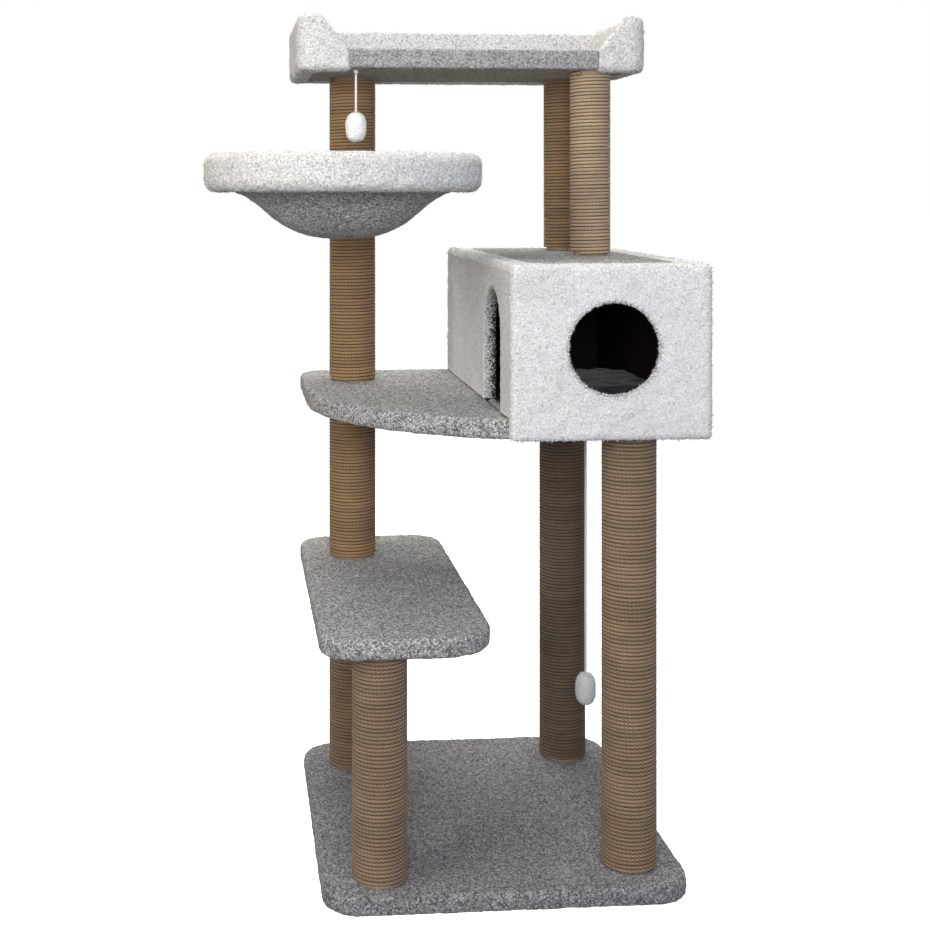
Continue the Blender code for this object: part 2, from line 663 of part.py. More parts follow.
def make_tray():
    """A board with a bent wall strip round it, carpeted over both faces of the wall."""
    skin = CARPET + GAP
    board_edge = skin + TRAY_WALL + GAP
    inside = board_edge + CARPET
    board_top = TRAY_BOTTOM + BOARD
    under, over = TRAY_BOTTOM - 2 * PAST, TRAY_RIM_TOP + PAST
    board = put(extruded("tray_board", tray_outline(board_edge), TRAY_BOTTOM, board_top), PARTS, UNDERSIDE)
    for x, y in (TALL_POST, ROOF_FRONT_POST, REAR_POST):
        bolt_hole(board, x, y, TRAY_BOTTOM - PAST, board_top + PAST)
        head_recess(board, x, y, board_top - BOARD_RECESS, board_top + PAST)

    wall = put(extruded("tray_wall", tray_outline(skin), TRAY_BOTTOM, TRAY_RIM_TOP - skin), PARTS, PLYWOOD)
    cut(wall, extruded("tray_wall_middle", tray_outline(skin + TRAY_WALL), under, over))
    wall_notch = notch_outline(skin, TRAY_STRIP_TOP - skin, TRAY_STRIP_TOP - skin)
    cut(wall, extruded("tray_wall_notch", wall_notch, TRAY_FRONT - PAST, TRAY_FRONT + inside, "Y"))

    cover = put(extruded("tray_cover", tray_outline(0), TRAY_BOTTOM, TRAY_RIM_TOP), PARTS, WHITE_CARPET)
    cut(cover, extruded("tray_cover_middle", tray_outline(inside), under, over))
    cut(cover, extruded("tray_cover_seat", tray_outline(CARPET), under, board_top + GAP))
    slot = extruded("tray_cover_slot", tray_outline(CARPET), under, TRAY_RIM_TOP - CARPET)
    cut(slot, extruded("tray_slot_core", tray_outline(board_edge), under - PAST, over))
    cut(cover, slot)
    back = TRAY_FRONT + inside
    cover_notch = notch_outline(0, TRAY_BOTTOM - PAST, TRAY_STRIP_TOP)
    cut(cover, extruded("tray_cover_notch", cover_notch, TRAY_FRONT - PAST, back + 0.001, "Y"))

    strip_outline = rectangle(NOTCH_LEFT + GAP, TRAY_FRONT, NOTCH_RIGHT - GAP, back)
    strip = put(extruded("tray_front_strip", strip_outline, TRAY_BOTTOM, TRAY_STRIP_TOP), PARTS, GREY_CARPET)
    left, right = NOTCH_LEFT - PAST, NOTCH_RIGHT + PAST
    seat = rectangle(left, TRAY_FRONT + CARPET, right, back + PAST)
    cut(strip, extruded("tray_strip_seat", seat, under, board_top + GAP))
    groove = rectangle(left, TRAY_FRONT + CARPET, right, TRAY_FRONT + board_edge)
    cut(strip, extruded("tray_strip_groove", groove, under - PAST, TRAY_STRIP_TOP - CARPET))
    floor_low = board_top + GAP
    floor = extruded("tray_floor_carpet", tray_outline(inside + GAP), floor_low, floor_low + CARPET)
    put(floor, PARTS, GREY_CARPET)


def make_cushion():
    low = PLATFORM_BOARD_TOP + GAP
    outline = rounded_rectangle(*CUSHION_LOW, *CUSHION_HIGH, 0.050, 5)
    cushion = put(extruded("house_cushion", outline, low, low + CUSHION_THICKNESS), PARTS, FLEECE)
    bevel = cushion.modifiers.new("Soft edge", "BEVEL")
    bevel.width = 0.014
    bevel.segments = 3
    bevel.limit_method = "ANGLE"
    bevel.angle_limit = math.radians(50)


def make_string(name, place, low, high):
    x, y = place
    curve = bpy.data.curves.new(name, "CURVE")
    curve.dimensions = "3D"
    curve.bevel_depth = STRING_RADIUS
    curve.bevel_resolution = 2
    curve.use_fill_caps = True
    count = math.ceil((high - low) / (6 * STRING_RADIUS)) + 1
    spline = curve.splines.new("POLY")
    spline.points.add(count - 1)
    for i, point in enumerate(spline.points):
        point.co = (0, 0, (low - high) * i / (count - 1), 1)
    string = bpy.data.objects.new(name, curve)
    string.location = (x, y, high)
    put(string, PARTS, COTTON)


def ball_profile(radius, half_height, steps, fullness=1.0):
    """The outline of a ball or an oblong, top to bottom; a fullness under 1 squares it off."""
    profile = [(0, half_height)]
    for i in range(1, steps):
        angle = math.pi / 2 - math.pi * i / steps
        rise = math.copysign(abs(math.sin(angle)) ** fullness, math.sin(angle))
        profile.append((radius * math.cos(angle) ** fullness, half_height * rise))
    return profile + [(0, -half_height)]


def make_toy(name, place, ceiling, string_end, pompom_height):
    """A knot under the board, the string that hangs from it and a pompom on its end."""
    x, y = place
    pivot = ceiling - GAP - KNOT_RADIUS
    knot = turned(name + "_knot", ball_profile(KNOT_RADIUS, KNOT_RADIUS, 6), x, y, 12)
    put(knot, PARTS, COTTON)
    knot.location = (x, y, pivot)
    make_string(name + "_string", place, string_end, pivot - KNOT_RADIUS - GAP)
    half = pompom_height / 2
    pompom = turned(name + "_pompom", ball_profile(POMPOM_RADIUS, half, 9, 0.85), x, y, 14)
    put(pompom, PARTS, COTTON)
    pompom.location = (x, y, string_end - GAP - half)


def make_toys():
    make_toy("tray_toy", TRAY_TOY, TRAY_BOTTOM, TRAY_STRING_END, TRAY_POMPOM_HEIGHT)
    make_toy("house_toy", HOUSE_TOY, PLATFORM_BOARD_BOTTOM, HOUSE_STRING_END, HOUSE_POMPOM_HEIGHT)


def main():
    make_base()
    make_shelf()
    make_platform()
    make_posts()
    make_fasteners()
    make_house_panels()
    make_house_cover()
    make_cushion()
    make_bowl()
    make_tray()
    make_toys()


clear_scene()
PARTS = make_collection(OBJECT_NAME)
CUTTERS = make_collection("cutters", hidden=True)
main()
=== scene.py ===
import math

import bmesh
import bpy
import numpy as np
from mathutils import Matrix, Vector
from mathutils.bvhtree import BVHTree


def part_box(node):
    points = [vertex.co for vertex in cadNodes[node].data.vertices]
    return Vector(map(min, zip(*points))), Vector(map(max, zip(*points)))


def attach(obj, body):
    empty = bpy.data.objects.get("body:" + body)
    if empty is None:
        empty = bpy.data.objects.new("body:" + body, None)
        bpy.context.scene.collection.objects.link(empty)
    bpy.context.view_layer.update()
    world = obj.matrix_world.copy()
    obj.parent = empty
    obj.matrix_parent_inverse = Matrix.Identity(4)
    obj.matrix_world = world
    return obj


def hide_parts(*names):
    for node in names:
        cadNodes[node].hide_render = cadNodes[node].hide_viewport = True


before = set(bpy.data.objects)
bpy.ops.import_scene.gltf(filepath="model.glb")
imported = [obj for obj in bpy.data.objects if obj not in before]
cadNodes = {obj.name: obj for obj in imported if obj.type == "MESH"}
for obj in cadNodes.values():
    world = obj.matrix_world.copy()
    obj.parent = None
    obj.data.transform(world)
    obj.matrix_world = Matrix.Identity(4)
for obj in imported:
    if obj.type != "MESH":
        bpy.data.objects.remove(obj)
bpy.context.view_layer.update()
materials = {}


viewCamera = {
    "location": (-0.4476, -2.4015, 1.1335),
    "heading": -0.0752,            # turned a little to the right of straight ahead
    "lens": 52.64,
    "shift": (0.1470, -0.2990),
}


def placeCamera(spec):
    data = bpy.data.cameras.new("camera")
    data.lens = spec["lens"]
    data.sensor_width = 36
    data.shift_x, data.shift_y = spec["shift"]
    camera = bpy.data.objects.new("camera", data)
    camera.location = spec["location"]
    camera.rotation_euler = (math.radians(90), 0, spec["heading"])
    bpy.context.scene.collection.objects.link(camera)
    bpy.context.scene.camera = camera


placeCamera(viewCamera)
print("camera placed")


def link(obj):
    bpy.context.scene.collection.objects.link(obj)
    return obj


def makeMesh(name, points, faces, smooth=True):
    mesh = bpy.data.meshes.new(name)
    mesh.from_pydata([tuple(p) for p in points], [], faces)
    mesh.update()
    mesh.polygons.foreach_set("use_smooth", [smooth] * len(mesh.polygons))
    return link(bpy.data.objects.new(name, mesh))


def readPoints(mesh):
    flat = np.empty(len(mesh.vertices) * 3)
    mesh.vertices.foreach_get("co", flat)
    return flat.reshape(-1, 3)


def writePoints(mesh, points):
    mesh.vertices.foreach_set("co", points.ravel())
    mesh.update()


def readNormals(mesh):
    flat = np.empty(len(mesh.vertices) * 3)
    mesh.vertex_normals.foreach_get("vector", flat)
    return flat.reshape(-1, 3)


def readEdges(mesh):
    flat = np.empty(len(mesh.edges) * 2, dtype=np.int64)
    mesh.edges.foreach_get("vertices", flat)
    return flat.reshape(-1, 2)


def scatter(points, seed):
    # a number from 0 to 1 for each place, the same on every run
    mixed = np.sin(points @ np.array((127.1, 311.7, 74.7)) * 1000 + seed * 17.3) * 43758.5453
    return mixed - np.floor(mixed)


def spread(values, edges, rounds):
    # averages each value with its neighbours along the edges
    count = np.bincount(edges.ravel(), minlength=len(values)).astype(float) + 1
    for _ in range(rounds):
        total = values.copy()
        total += np.bincount(edges[:, 0], values[edges[:, 1]], minlength=len(values))
        total += np.bincount(edges[:, 1], values[edges[:, 0]], minlength=len(values))
        values = total / count
    return values


def finish(piece, material, body="root", stands=()):
    piece.data.materials.clear()
    piece.data.materials.append(materials[material])
    if stands:
        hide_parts(*stands)
    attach(piece, body)
    return piece


def addNode(tree, kind, **settings):
    node = tree.nodes.new(kind)
    for key, value in settings.items():
        setattr(node, key, value)
    return node


def plug(tree, socket, value):
    # links an output to the socket, or sets a plain value on it
    if isinstance(value, bpy.types.NodeSocket):
        tree.links.new(value, socket)
    elif isinstance(value, tuple) and socket.type == "RGBA":
        socket.default_value = (*value, 1.0)
    else:
        socket.default_value = value


def math2(tree, operation, a, b=None):
    node = addNode(tree, "ShaderNodeMath", operation=operation)
    plug(tree, node.inputs[0], a)
    if b is not None:
        plug(tree, node.inputs[1], b)
    return node.outputs[0]


def remap(tree, value, low, high, outLow=0.0, outHigh=1.0):
    node = addNode(tree, "ShaderNodeMapRange")
    node.interpolation_type = "SMOOTHSTEP"
    for i, entry in enumerate((value, low, high, outLow, outHigh)):
        plug(tree, node.inputs[i], entry)
    return node.outputs[0]


def mixColour(tree, factor, a, b, blend="MIX"):
    node = addNode(tree, "ShaderNodeMix", data_type="RGBA", blend_type=blend)
    for i, value in ((0, factor), (6, a), (7, b)):
        plug(tree, node.inputs[i], value)
    return node.outputs[2]


def greyOf(tree, value):
    # the same number in all three colour channels
    node = addNode(tree, "ShaderNodeCombineColor")
    for i in range(3):
        tree.links.new(value, node.inputs[i])
    return node.outputs[0]


def partsOf(tree, vector):
    # the x, y and z of a vector
    node = addNode(tree, "ShaderNodeSeparateXYZ")
    tree.links.new(vector, node.inputs[0])
    return node.outputs


def noise(tree, vector, scale, detail=2.0, roughness=0.5):
    node = addNode(tree, "ShaderNodeTexNoise")
    for name, value in (("Vector", vector), ("Scale", scale), ("Detail", detail), ("Roughness", roughness)):
        plug(tree, node.inputs[name], value)
    return node.outputs["Fac"]


def stretched(tree, vector, scale):
    node = addNode(tree, "ShaderNodeMapping")
    node.inputs["Scale"].default_value = scale
    tree.links.new(vector, node.inputs["Vector"])
    return node.outputs["Vector"]


def newGroup(name, inputs, outputs):
    # inputs and outputs are the sockets' names with their kinds
    tree = bpy.data.node_groups.new(name, "ShaderNodeTree")
    for direction, sockets in (("INPUT", inputs), ("OUTPUT", outputs)):
        for label, kind in sockets.items():
            tree.interface.new_socket(label, in_out=direction, socket_type="NodeSocket" + kind)
    return tree, addNode(tree, "NodeGroupInput").outputs, addNode(tree, "NodeGroupOutput").inputs


def useGroup(tree, group, **values):
    node = addNode(tree, "ShaderNodeGroup")
    node.node_tree = group
    for key, value in values.items():
        plug(tree, node.inputs[key], value)
    return node


def newMaterial(name, roughness=0.9, sheen=0.0, metallic=0.0, specular=0.3):
    material = bpy.data.materials.new(name)
    material.use_nodes = True
    tree = material.node_tree
    shader = tree.nodes["Principled BSDF"]
    shader.inputs["Roughness"].default_value = roughness
    shader.inputs["Metallic"].default_value = metallic
    shader.inputs["Specular IOR Level"].default_value = specular
    if sheen:
        shader.inputs["Sheen Weight"].default_value = sheen
        shader.inputs["Sheen Roughness"].default_value = 0.6
    materials[name] = material
    return tree, shader


def bumpInto(tree, shader, height, strength, distance):
    bump = addNode(tree, "ShaderNodeBump")
    bump.inputs["Strength"].default_value = strength
    bump.inputs["Distance"].default_value = distance
    tree.links.new(height, bump.inputs["Height"])
    tree.links.new(bump.outputs["Normal"], shader.inputs["Normal"])


def objectPlace(tree):
    return addNode(tree, "ShaderNodeTexCoord").outputs["Object"]


def buildCutPile():
    # tufts of cut pile: a random yarn colour per tuft, with painted shade in the gaps between them
    tree, given, out = newGroup(
        "cutPile",
        {
            "Vector": "Vector", "Tufts": "Float", "Ground": "Color", "Dark": "Color", "Light": "Color",
            "Dark Share": "Float", "Light Share": "Float", "Gap Shade": "Float",
        },
        {"Color": "Color", "Height": "Float"},
    )
    cells = addNode(tree, "ShaderNodeTexVoronoi", feature="F1")
    tree.links.new(given["Vector"], cells.inputs["Vector"])
    tree.links.new(given["Tufts"], cells.inputs["Scale"])
    split = addNode(tree, "ShaderNodeSeparateColor")
    tree.links.new(cells.outputs["Color"], split.inputs[0])
    pick = split.outputs[0]
    tone = split.outputs[1]
    darkEdge = math2(tree, "ADD", given["Dark Share"], 0.05)
    dark = remap(tree, pick, given["Dark Share"], darkEdge, 1.0, 0.0)
    lightStart = math2(tree, "SUBTRACT", 0.95, given["Light Share"])
    lightEnd = math2(tree, "SUBTRACT", 1.0, given["Light Share"])
    light = remap(tree, pick, lightStart, lightEnd)
    colour = mixColour(tree, dark, given["Ground"], given["Dark"])
    colour = mixColour(tree, light, colour, given["Light"])
    strands = remap(tree, noise(tree, given["Vector"], 760.0, 2.0, 0.6), 0.32, 0.68, 0.88, 1.10)
    shade = math2(tree, "MULTIPLY", remap(tree, tone, 0.0, 1.0, 0.93, 1.06), strands)
    patches = noise(tree, given["Vector"], 11.0, 3.0)
    lay = remap(tree, patches, 0.3, 0.7, 0.95, 1.04)
    # painted shade: the colour darkens towards the edge of each tuft, in the gaps between tufts
    gap = remap(tree, cells.outputs["Distance"], 0.38, 0.72)
    kept = math2(tree, "SUBTRACT", 1.0, math2(tree, "MULTIPLY", gap, given["Gap Shade"]))
    total = math2(tree, "MULTIPLY", math2(tree, "MULTIPLY", shade, lay), kept)
    tree.links.new(mixColour(tree, 1.0, colour, greyOf(tree, total), "MULTIPLY"), out["Color"])
    fibres = noise(tree, given["Vector"], 1400.0, 1.0)
    crown = math2(tree, "SUBTRACT", 1.0, cells.outputs["Distance"])
    tree.links.new(math2(tree, "ADD", crown, math2(tree, "MULTIPLY", fibres, 0.35)), out["Height"])
    return tree


def buildTwist():
    # strands that run round a rope at a slant: Along is metres, Around is turns
    tree, given, out = newGroup(
        "twistedYarn",
        {"Along": "Float", "Around": "Float", "Strands": "Float", "Lay": "Float"},
        {"Strand": "Float", "Fibre": "Float"},
    )
    turns = math2(tree, "DIVIDE", given["Along"], given["Lay"])
    phase = math2(tree, "MULTIPLY", math2(tree, "ADD", turns, given["Around"]), given["Strands"])
    wave = math2(tree, "COSINE", math2(tree, "MULTIPLY", phase, 2 * math.pi))
    tree.links.new(remap(tree, wave, -1.0, 0.6), out["Strand"])
    fine = math2(tree, "COSINE", math2(tree, "MULTIPLY", phase, 14 * math.pi))
    place = addNode(tree, "ShaderNodeCombineXYZ")
    tree.links.new(math2(tree, "MULTIPLY", given["Along"], 260.0), place.inputs[0])
    tree.links.new(math2(tree, "MULTIPLY", phase, 3.0), place.inputs[1])
    rough = noise(tree, place.outputs[0], 1.0, 3.0, 0.7)
    tree.links.new(math2(tree, "ADD", math2(tree, "MULTIPLY", fine, 0.2), rough), out["Fibre"])
    return tree


def buildBoardGrain():
    # pressed board or sawn wood: long streaks and fine chips
    tree, given, out = newGroup(
        "boardGrain",
        {"Vector": "Vector", "Base": "Color", "Streak": "Color"},
        {"Color": "Color", "Height": "Float"},
    )
    streaks = noise(tree, stretched(tree, given["Vector"], (14, 160, 160)), 1.0, 4.0, 0.6)
    chips = noise(tree, given["Vector"], 420.0, 2.0)
    colour = mixColour(tree, remap(tree, streaks, 0.35, 0.65), given["Base"], given["Streak"])
    tree.links.new(mixColour(tree, math2(tree, "MULTIPLY", chips, 0.35), colour, given["Base"]), out["Color"])
    tree.links.new(math2(tree, "ADD", streaks, math2(tree, "MULTIPLY", chips, 0.4)), out["Height"])
    return tree


cutPile = buildCutPile()
twistedYarn = buildTwist()
boardGrain = buildBoardGrain()


whiteCarpet = {
    "ground": (0.750, 0.750, 0.763), "dark": (0.60, 0.60, 0.62), "light": (0.82, 0.82, 0.832),
    "darkShare": 0.045, "lightShare": 0.20, "gap": 0.20, "tufts": 400.0, "bump": 0.55,
}
# the tray's and the bowl's pile is a little greyer and more flecked
bedCarpet = {
    "ground": (0.705, 0.705, 0.705), "dark": (0.49, 0.49, 0.50), "light": (0.81, 0.81, 0.81),
    "darkShare": 0.08, "lightShare": 0.24, "gap": 0.28, "tufts": 360.0, "bump": 0.65,
}
# painted shade: a darker copy of the white pile for the doorway's sides, which stand in shade
jambCarpetShaded = {
    "ground": (0.62, 0.62, 0.62), "dark": (0.40, 0.40, 0.40), "light": (0.76, 0.76, 0.76),
    "darkShare": 0.10, "lightShare": 0.20, "gap": 0.35, "tufts": 400.0, "bump": 0.6,
}
greyCarpet = {
    "ground": (0.375, 0.375, 0.380), "dark": (0.165, 0.165, 0.170), "light": (0.60, 0.60, 0.61),
    "darkShare": 0.20, "lightShare": 0.24, "gap": 0.42, "tufts": 350.0, "bump": 0.75,
}
# painted shade: the base's pile below is a darker copy of the grey pile, for the shade under the shelf and
# the platform
stripCarpet = {
    **greyCarpet, "ground": (0.375, 0.375, 0.380), "dark": (0.24, 0.24, 0.245), "light": (0.47, 0.47, 0.48),
    "gap": 0.34,
}
# painted shade: darker copy of the grey pile for the shaded base
baseCarpetShaded = {
    **greyCarpet, "ground": (0.268, 0.268, 0.281), "dark": (0.12, 0.12, 0.125), "light": (0.43, 0.43, 0.45),
}
underFelt = {
    **greyCarpet, "ground": (0.350, 0.300, 0.240), "dark": (0.15, 0.125, 0.095), "light": (0.48, 0.42, 0.34),
}
hiddenBoards = {
    "plywood": ((0.30, 0.20, 0.12), (0.20, 0.12, 0.07)),
    # painted shade: the house's inner boards are near black for the dark inside of the house
    "houseBoardShade": ((0.009, 0.0035, 0.003), (0.005, 0.0025, 0.002)),
    "postCore": ((0.42, 0.31, 0.19), (0.33, 0.23, 0.13)),
}
rope = {
    "pitch": 0.0062,
    "steps": 96,                   # rings of rope in each turn
    "section": (-96, -58, -20, 20, 58, 96, 180),    # degrees round the rope, 0 faces outwards
    "lay": 0.019,                  # length of one strand's turn
    "lobe": 0.00018,
    "slack": 0.00034,
    "flat": 0.66,                  # the rope is pulled a little flat on the post
}
# plain rope low down, paler under the tray, golden on the tall post, and a darker copy on the rear post as
# painted shade
ropes = {
    "jute": {"deep": (0.160, 0.102, 0.058), "yarn": (0.330, 0.222, 0.136), "pale": (0.50, 0.38, 0.26)},
    "juteGolden": {"deep": (0.190, 0.110, 0.048), "yarn": (0.400, 0.245, 0.122), "pale": (0.56, 0.39, 0.22)},
    "jutePale": {"deep": (0.260, 0.180, 0.108), "yarn": (0.520, 0.375, 0.240), "pale": (0.68, 0.53, 0.37)},
    "juteShaded": {"deep": (0.095, 0.060, 0.035), "yarn": (0.200, 0.135, 0.085), "pale": (0.31, 0.23, 0.155)},
}


def carpetMaterial(name, spec, rimGapShade=None, doorwayShade=None):
    tree, shader = newMaterial(name, roughness=0.95, sheen=0.15, specular=0.15)
    place = objectPlace(tree)
    pile = useGroup(
        tree, cutPile, Vector=place, Tufts=spec["tufts"],
        Ground=spec["ground"], Dark=spec["dark"], Light=spec["light"],
        **{"Dark Share": spec["darkShare"], "Light Share": spec["lightShare"], "Gap Shade": spec["gap"]},
    )
    colour = pile.outputs["Color"]
    if rimGapShade:
        # painted shade: dark specks in the gaps between the parted tufts round a cut hole
        centre = addNode(tree, "ShaderNodeVectorMath", operation="SUBTRACT")
        centre.inputs[1].default_value = rimGapShade["centre"]
        tree.links.new(place, centre.inputs[0])
        flat = addNode(tree, "ShaderNodeVectorMath", operation="MULTIPLY")
        flat.inputs[1].default_value = (1, 0, 1)
        tree.links.new(centre.outputs[0], flat.inputs[0])
        reach = addNode(tree, "ShaderNodeVectorMath", operation="LENGTH")
        tree.links.new(flat.outputs[0], reach.inputs[0])
        radius = rimGapShade["radius"]
        near = remap(tree, reach.outputs["Value"], radius, radius + 0.013, 1.0, 0.0)
        shadeDots = remap(tree, noise(tree, place, 430.0, 1.0), 0.58, 0.64)
        colour = mixColour(tree, math2(tree, "MULTIPLY", near, shadeDots), colour, (0.10, 0.10, 0.11))
    if doorwayShade:
        # painted shade: dark specks that thicken from the first depth to the second, deeper into the doorway
        bar = remap(tree, partsOf(tree, place)[0], *doorwayShade, 0.66, 0.36)
        shadeDots = remap(tree, math2(tree, "SUBTRACT", noise(tree, place, 400.0, 1.0), bar), 0.0, 0.05)
        colour = mixColour(tree, shadeDots, colour, (0.012, 0.012, 0.012))
    tree.links.new(colour, shader.inputs["Base Color"])
    bumpInto(tree, shader, pile.outputs["Height"], spec["bump"], 0.0013)


def boardMaterial(name, base, streak):
    tree, shader = newMaterial(name, roughness=0.75, specular=0.25)
    grain = useGroup(tree, boardGrain, Vector=objectPlace(tree), Base=base, Streak=streak)
    tree.links.new(grain.outputs["Color"], shader.inputs["Base Color"])
    bumpInto(tree, shader, grain.outputs["Height"], 0.35, 0.0006)


def juteMaterial(name, spec):
    tree, shader = newMaterial(name, roughness=0.88, sheen=0.1, specular=0.2)
    route = addNode(tree, "ShaderNodeUVMap", uv_map="ropeRoute")
    along, around, _ = partsOf(tree, route.outputs[0])
    yarn = useGroup(tree, twistedYarn, Along=along, Around=around, Strands=3.0, Lay=rope["lay"])
    place = objectPlace(tree)
    bands = noise(tree, stretched(tree, place, (3, 3, 95)), 1.0, 2.0)
    stains = noise(tree, place, 16.0, 3.0)
    flecks = remap(tree, noise(tree, place, 210.0, 2.0, 0.7), 0.64, 0.74)
    # painted shade: the grooves between the strands take the deep colour, the crests the yarn colour
    colour = mixColour(tree, yarn.outputs["Strand"], spec["deep"], spec["yarn"])
    pale = math2(tree, "MULTIPLY", remap(tree, yarn.outputs["Fibre"], 0.45, 0.85), 0.55)
    colour = mixColour(tree, pale, colour, spec["pale"])
    colour = mixColour(tree, math2(tree, "MULTIPLY", flecks, 0.6), colour, spec["deep"])
    faded = remap(tree, bands, 0.25, 0.75, 0.84, 1.08)
    level = math2(tree, "MULTIPLY", faded, remap(tree, stains, 0.3, 0.7, 0.92, 1.06))
    # painted shade: the valley between two turns is darkened; it runs at a quarter and three quarters round
    side = math2(tree, "ABSOLUTE", math2(tree, "SINE", math2(tree, "MULTIPLY", around, 2 * math.pi)))
    shade = math2(tree, "MULTIPLY", level, remap(tree, side, 0.50, 1.0, 1.0, 0.42))
    tree.links.new(mixColour(tree, 1.0, colour, greyOf(tree, shade), "MULTIPLY"), shader.inputs["Base Color"])
    height = math2(tree, "ADD", yarn.outputs["Strand"], math2(tree, "MULTIPLY", yarn.outputs["Fibre"], 0.5))
    bumpInto(tree, shader, height, 0.6, 0.0008)


def cottonMaterial():
    tree, shader = newMaterial("cotton", roughness=0.9, sheen=0.2, specular=0.2)
    x, y, z = partsOf(tree, objectPlace(tree))
    around = math2(tree, "DIVIDE", math2(tree, "ARCTAN2", y, x), 2 * math.pi)
    yarn = useGroup(tree, twistedYarn, Along=z, Around=around, Strands=3.0, Lay=0.012)
    # painted shade: the grooves between the strands are darker
    colour = mixColour(tree, yarn.outputs["Strand"], (0.62, 0.61, 0.59), (0.93, 0.925, 0.91))
    tree.links.new(colour, shader.inputs["Base Color"])
    bumpInto(tree, shader, yarn.outputs["Strand"], 0.8, 0.0006)


def yarnFluffMaterial():
    tree, shader = newMaterial("fluff", roughness=0.95, sheen=0.4, specular=0.1)
    locks = noise(tree, objectPlace(tree), 420.0, 3.0, 0.6)
    colour = mixColour(tree, remap(tree, locks, 0.35, 0.6), (0.66, 0.65, 0.64), (0.95, 0.95, 0.94))
    tree.links.new(colour, shader.inputs["Base Color"])
    bumpInto(tree, shader, locks, 0.6, 0.0010)


def fleeceMaterial():
    tree, shader = newMaterial("fleece", roughness=0.92, sheen=0.12, specular=0.1)
    place = objectPlace(tree)
    nap = noise(tree, place, 520.0, 3.0, 0.6)
    brushed = noise(tree, stretched(tree, place, (30, 60, 30)), 1.0, 3.0)
    tone = math2(tree, "ADD", math2(tree, "MULTIPLY", nap, 0.4), math2(tree, "MULTIPLY", brushed, 0.6))
    # painted shade: the cushion's own dark colour is darkened further to near black, for the dark inside of
    # the house
    colour = mixColour(tree, remap(tree, tone, 0.35, 0.65), (0.010, 0.010, 0.013), (0.030, 0.030, 0.036))
    tree.links.new(colour, shader.inputs["Base Color"])
    bumpInto(tree, shader, nap, 0.5, 0.0008)


def zincMaterial():
    tree, shader = newMaterial("zinc", roughness=0.35, metallic=1.0, specular=0.5)
    spangle = noise(tree, objectPlace(tree), 300.0, 2.0)
    colour = mixColour(tree, spangle, (0.52, 0.53, 0.54), (0.70, 0.71, 0.73))
    tree.links.new(colour, shader.inputs["Base Color"])
    tree.links.new(remap(tree, spangle, 0.3, 0.7, 0.28, 0.46), shader.inputs["Roughness"])


porthole = {
    "centre": (0.1645, 0.0, 0.8775), "radius": 0.0722,
    "worn": 0.0030, "reach": 0.0080,    # how far the pile is pushed back, and over what width
}
door = {"front": -0.2025, "back": -0.0605, "top": 0.9660}

carpetMaterial("housePile", whiteCarpet, porthole)
carpetMaterial("greyPile", greyCarpet)
carpetMaterial("basePileShaded", baseCarpetShaded)
carpetMaterial("stripPile", stripCarpet)
carpetMaterial("bedPile", bedCarpet)
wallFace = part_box("house_cover")[0].x
carpetMaterial("jambPileShaded", jambCarpetShaded, doorwayShade=(wallFace + 0.002, wallFace + 0.024))
carpetMaterial("underFelt", underFelt)
for boardName, (base, streak) in hiddenBoards.items():
    boardMaterial(boardName, base, streak)
for ropeName, tints in ropes.items():
    juteMaterial(ropeName, tints)
cottonMaterial()
yarnFluffMaterial()
fleeceMaterial()
zincMaterial()
print("materials made:", len(materials))


toySpec = {
    "stringDiameter": 0.0042,
    "pointEvery": 0.006,           # along the string
    "tieRadius": 0.00115,
    "tiePoints": 60,
    "locks": 1400,                 # loose yarn ends on each pompom
    "lockLength": (0.0012, 0.0032),
    "lockRadius": 0.00045,
}


def cones(name, starts, directions, lengths, radii, sides=4):
    # small closed tufts, each a pointed cone from its start along its direction
    points, faces = [], []
    for start, direction, length, radius in zip(starts, directions, lengths, radii):
        axis = Vector(direction).normalized()
        across = axis.orthogonal().normalized()
        other = axis.cross(across)
        first = len(points)
        for i in range(sides):
            angle = 2 * math.pi * i / sides
            rim = math.cos(angle) * across + math.sin(angle) * other
            points.append(Vector(start) + float(radius) * rim)
        points.append(Vector(start) + float(length) * axis)
        for i in range(sides):
            faces.append((first + i, first + (i + 1) % sides, first + sides))
        faces.append(tuple(first + sides - 1 - i for i in range(sides)))
    return makeMesh(name, points, faces)


def makeCord(name, radius, fineness, points, place):
    curve = bpy.data.curves.new(name, "CURVE")
    curve.dimensions = "3D"
    curve.bevel_depth = radius
    curve.bevel_resolution = fineness
    spline = curve.splines.new("POLY")
    spline.points.add(len(points) - 1)
    for point, spot in zip(spline.points, points):
        point.co = (*spot, 1)
    cord = link(bpy.data.objects.new(name, curve))
    cord.location = place
    return cord


def makeString(toy):
    low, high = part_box(toy + "_string")
    middle = (low + high) / 2
    count = max(16, round((high.z - low.z) / toySpec["pointEvery"]))
    points = [(0, 0, (low.z - high.z) * i / (count - 1)) for i in range(count)]
    cord = makeCord(toy + "_cord", toySpec["stringDiameter"] / 2, 5, points, (middle.x, middle.y, high.z))
    cord.data.use_fill_caps = True
    return finish(cord, "cotton", toy, [toy + "_string"])


def makeKnot(toy):
    # a small trefoil of the same cotton, tied under the board
    low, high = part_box(toy + "_knot")
    size = (high.x - low.x) / 2 - toySpec["tieRadius"]
    points = []
    for i in range(toySpec["tiePoints"]):
        t = 2 * math.pi * i / toySpec["tiePoints"]
        x = (math.sin(t) + 2 * math.sin(2 * t)) / 3
        y = (math.cos(t) - 2 * math.cos(2 * t)) / 3
        points.append((x * size, y * size, -math.sin(3 * t) * size * 0.8))
    knot = makeCord(toy + "_tie", toySpec["tieRadius"], 3, points, (low + high) / 2)
    knot.data.splines[0].use_cyclic_u = True
    return finish(knot, "cotton", toy + "_pivot", [toy + "_knot"])


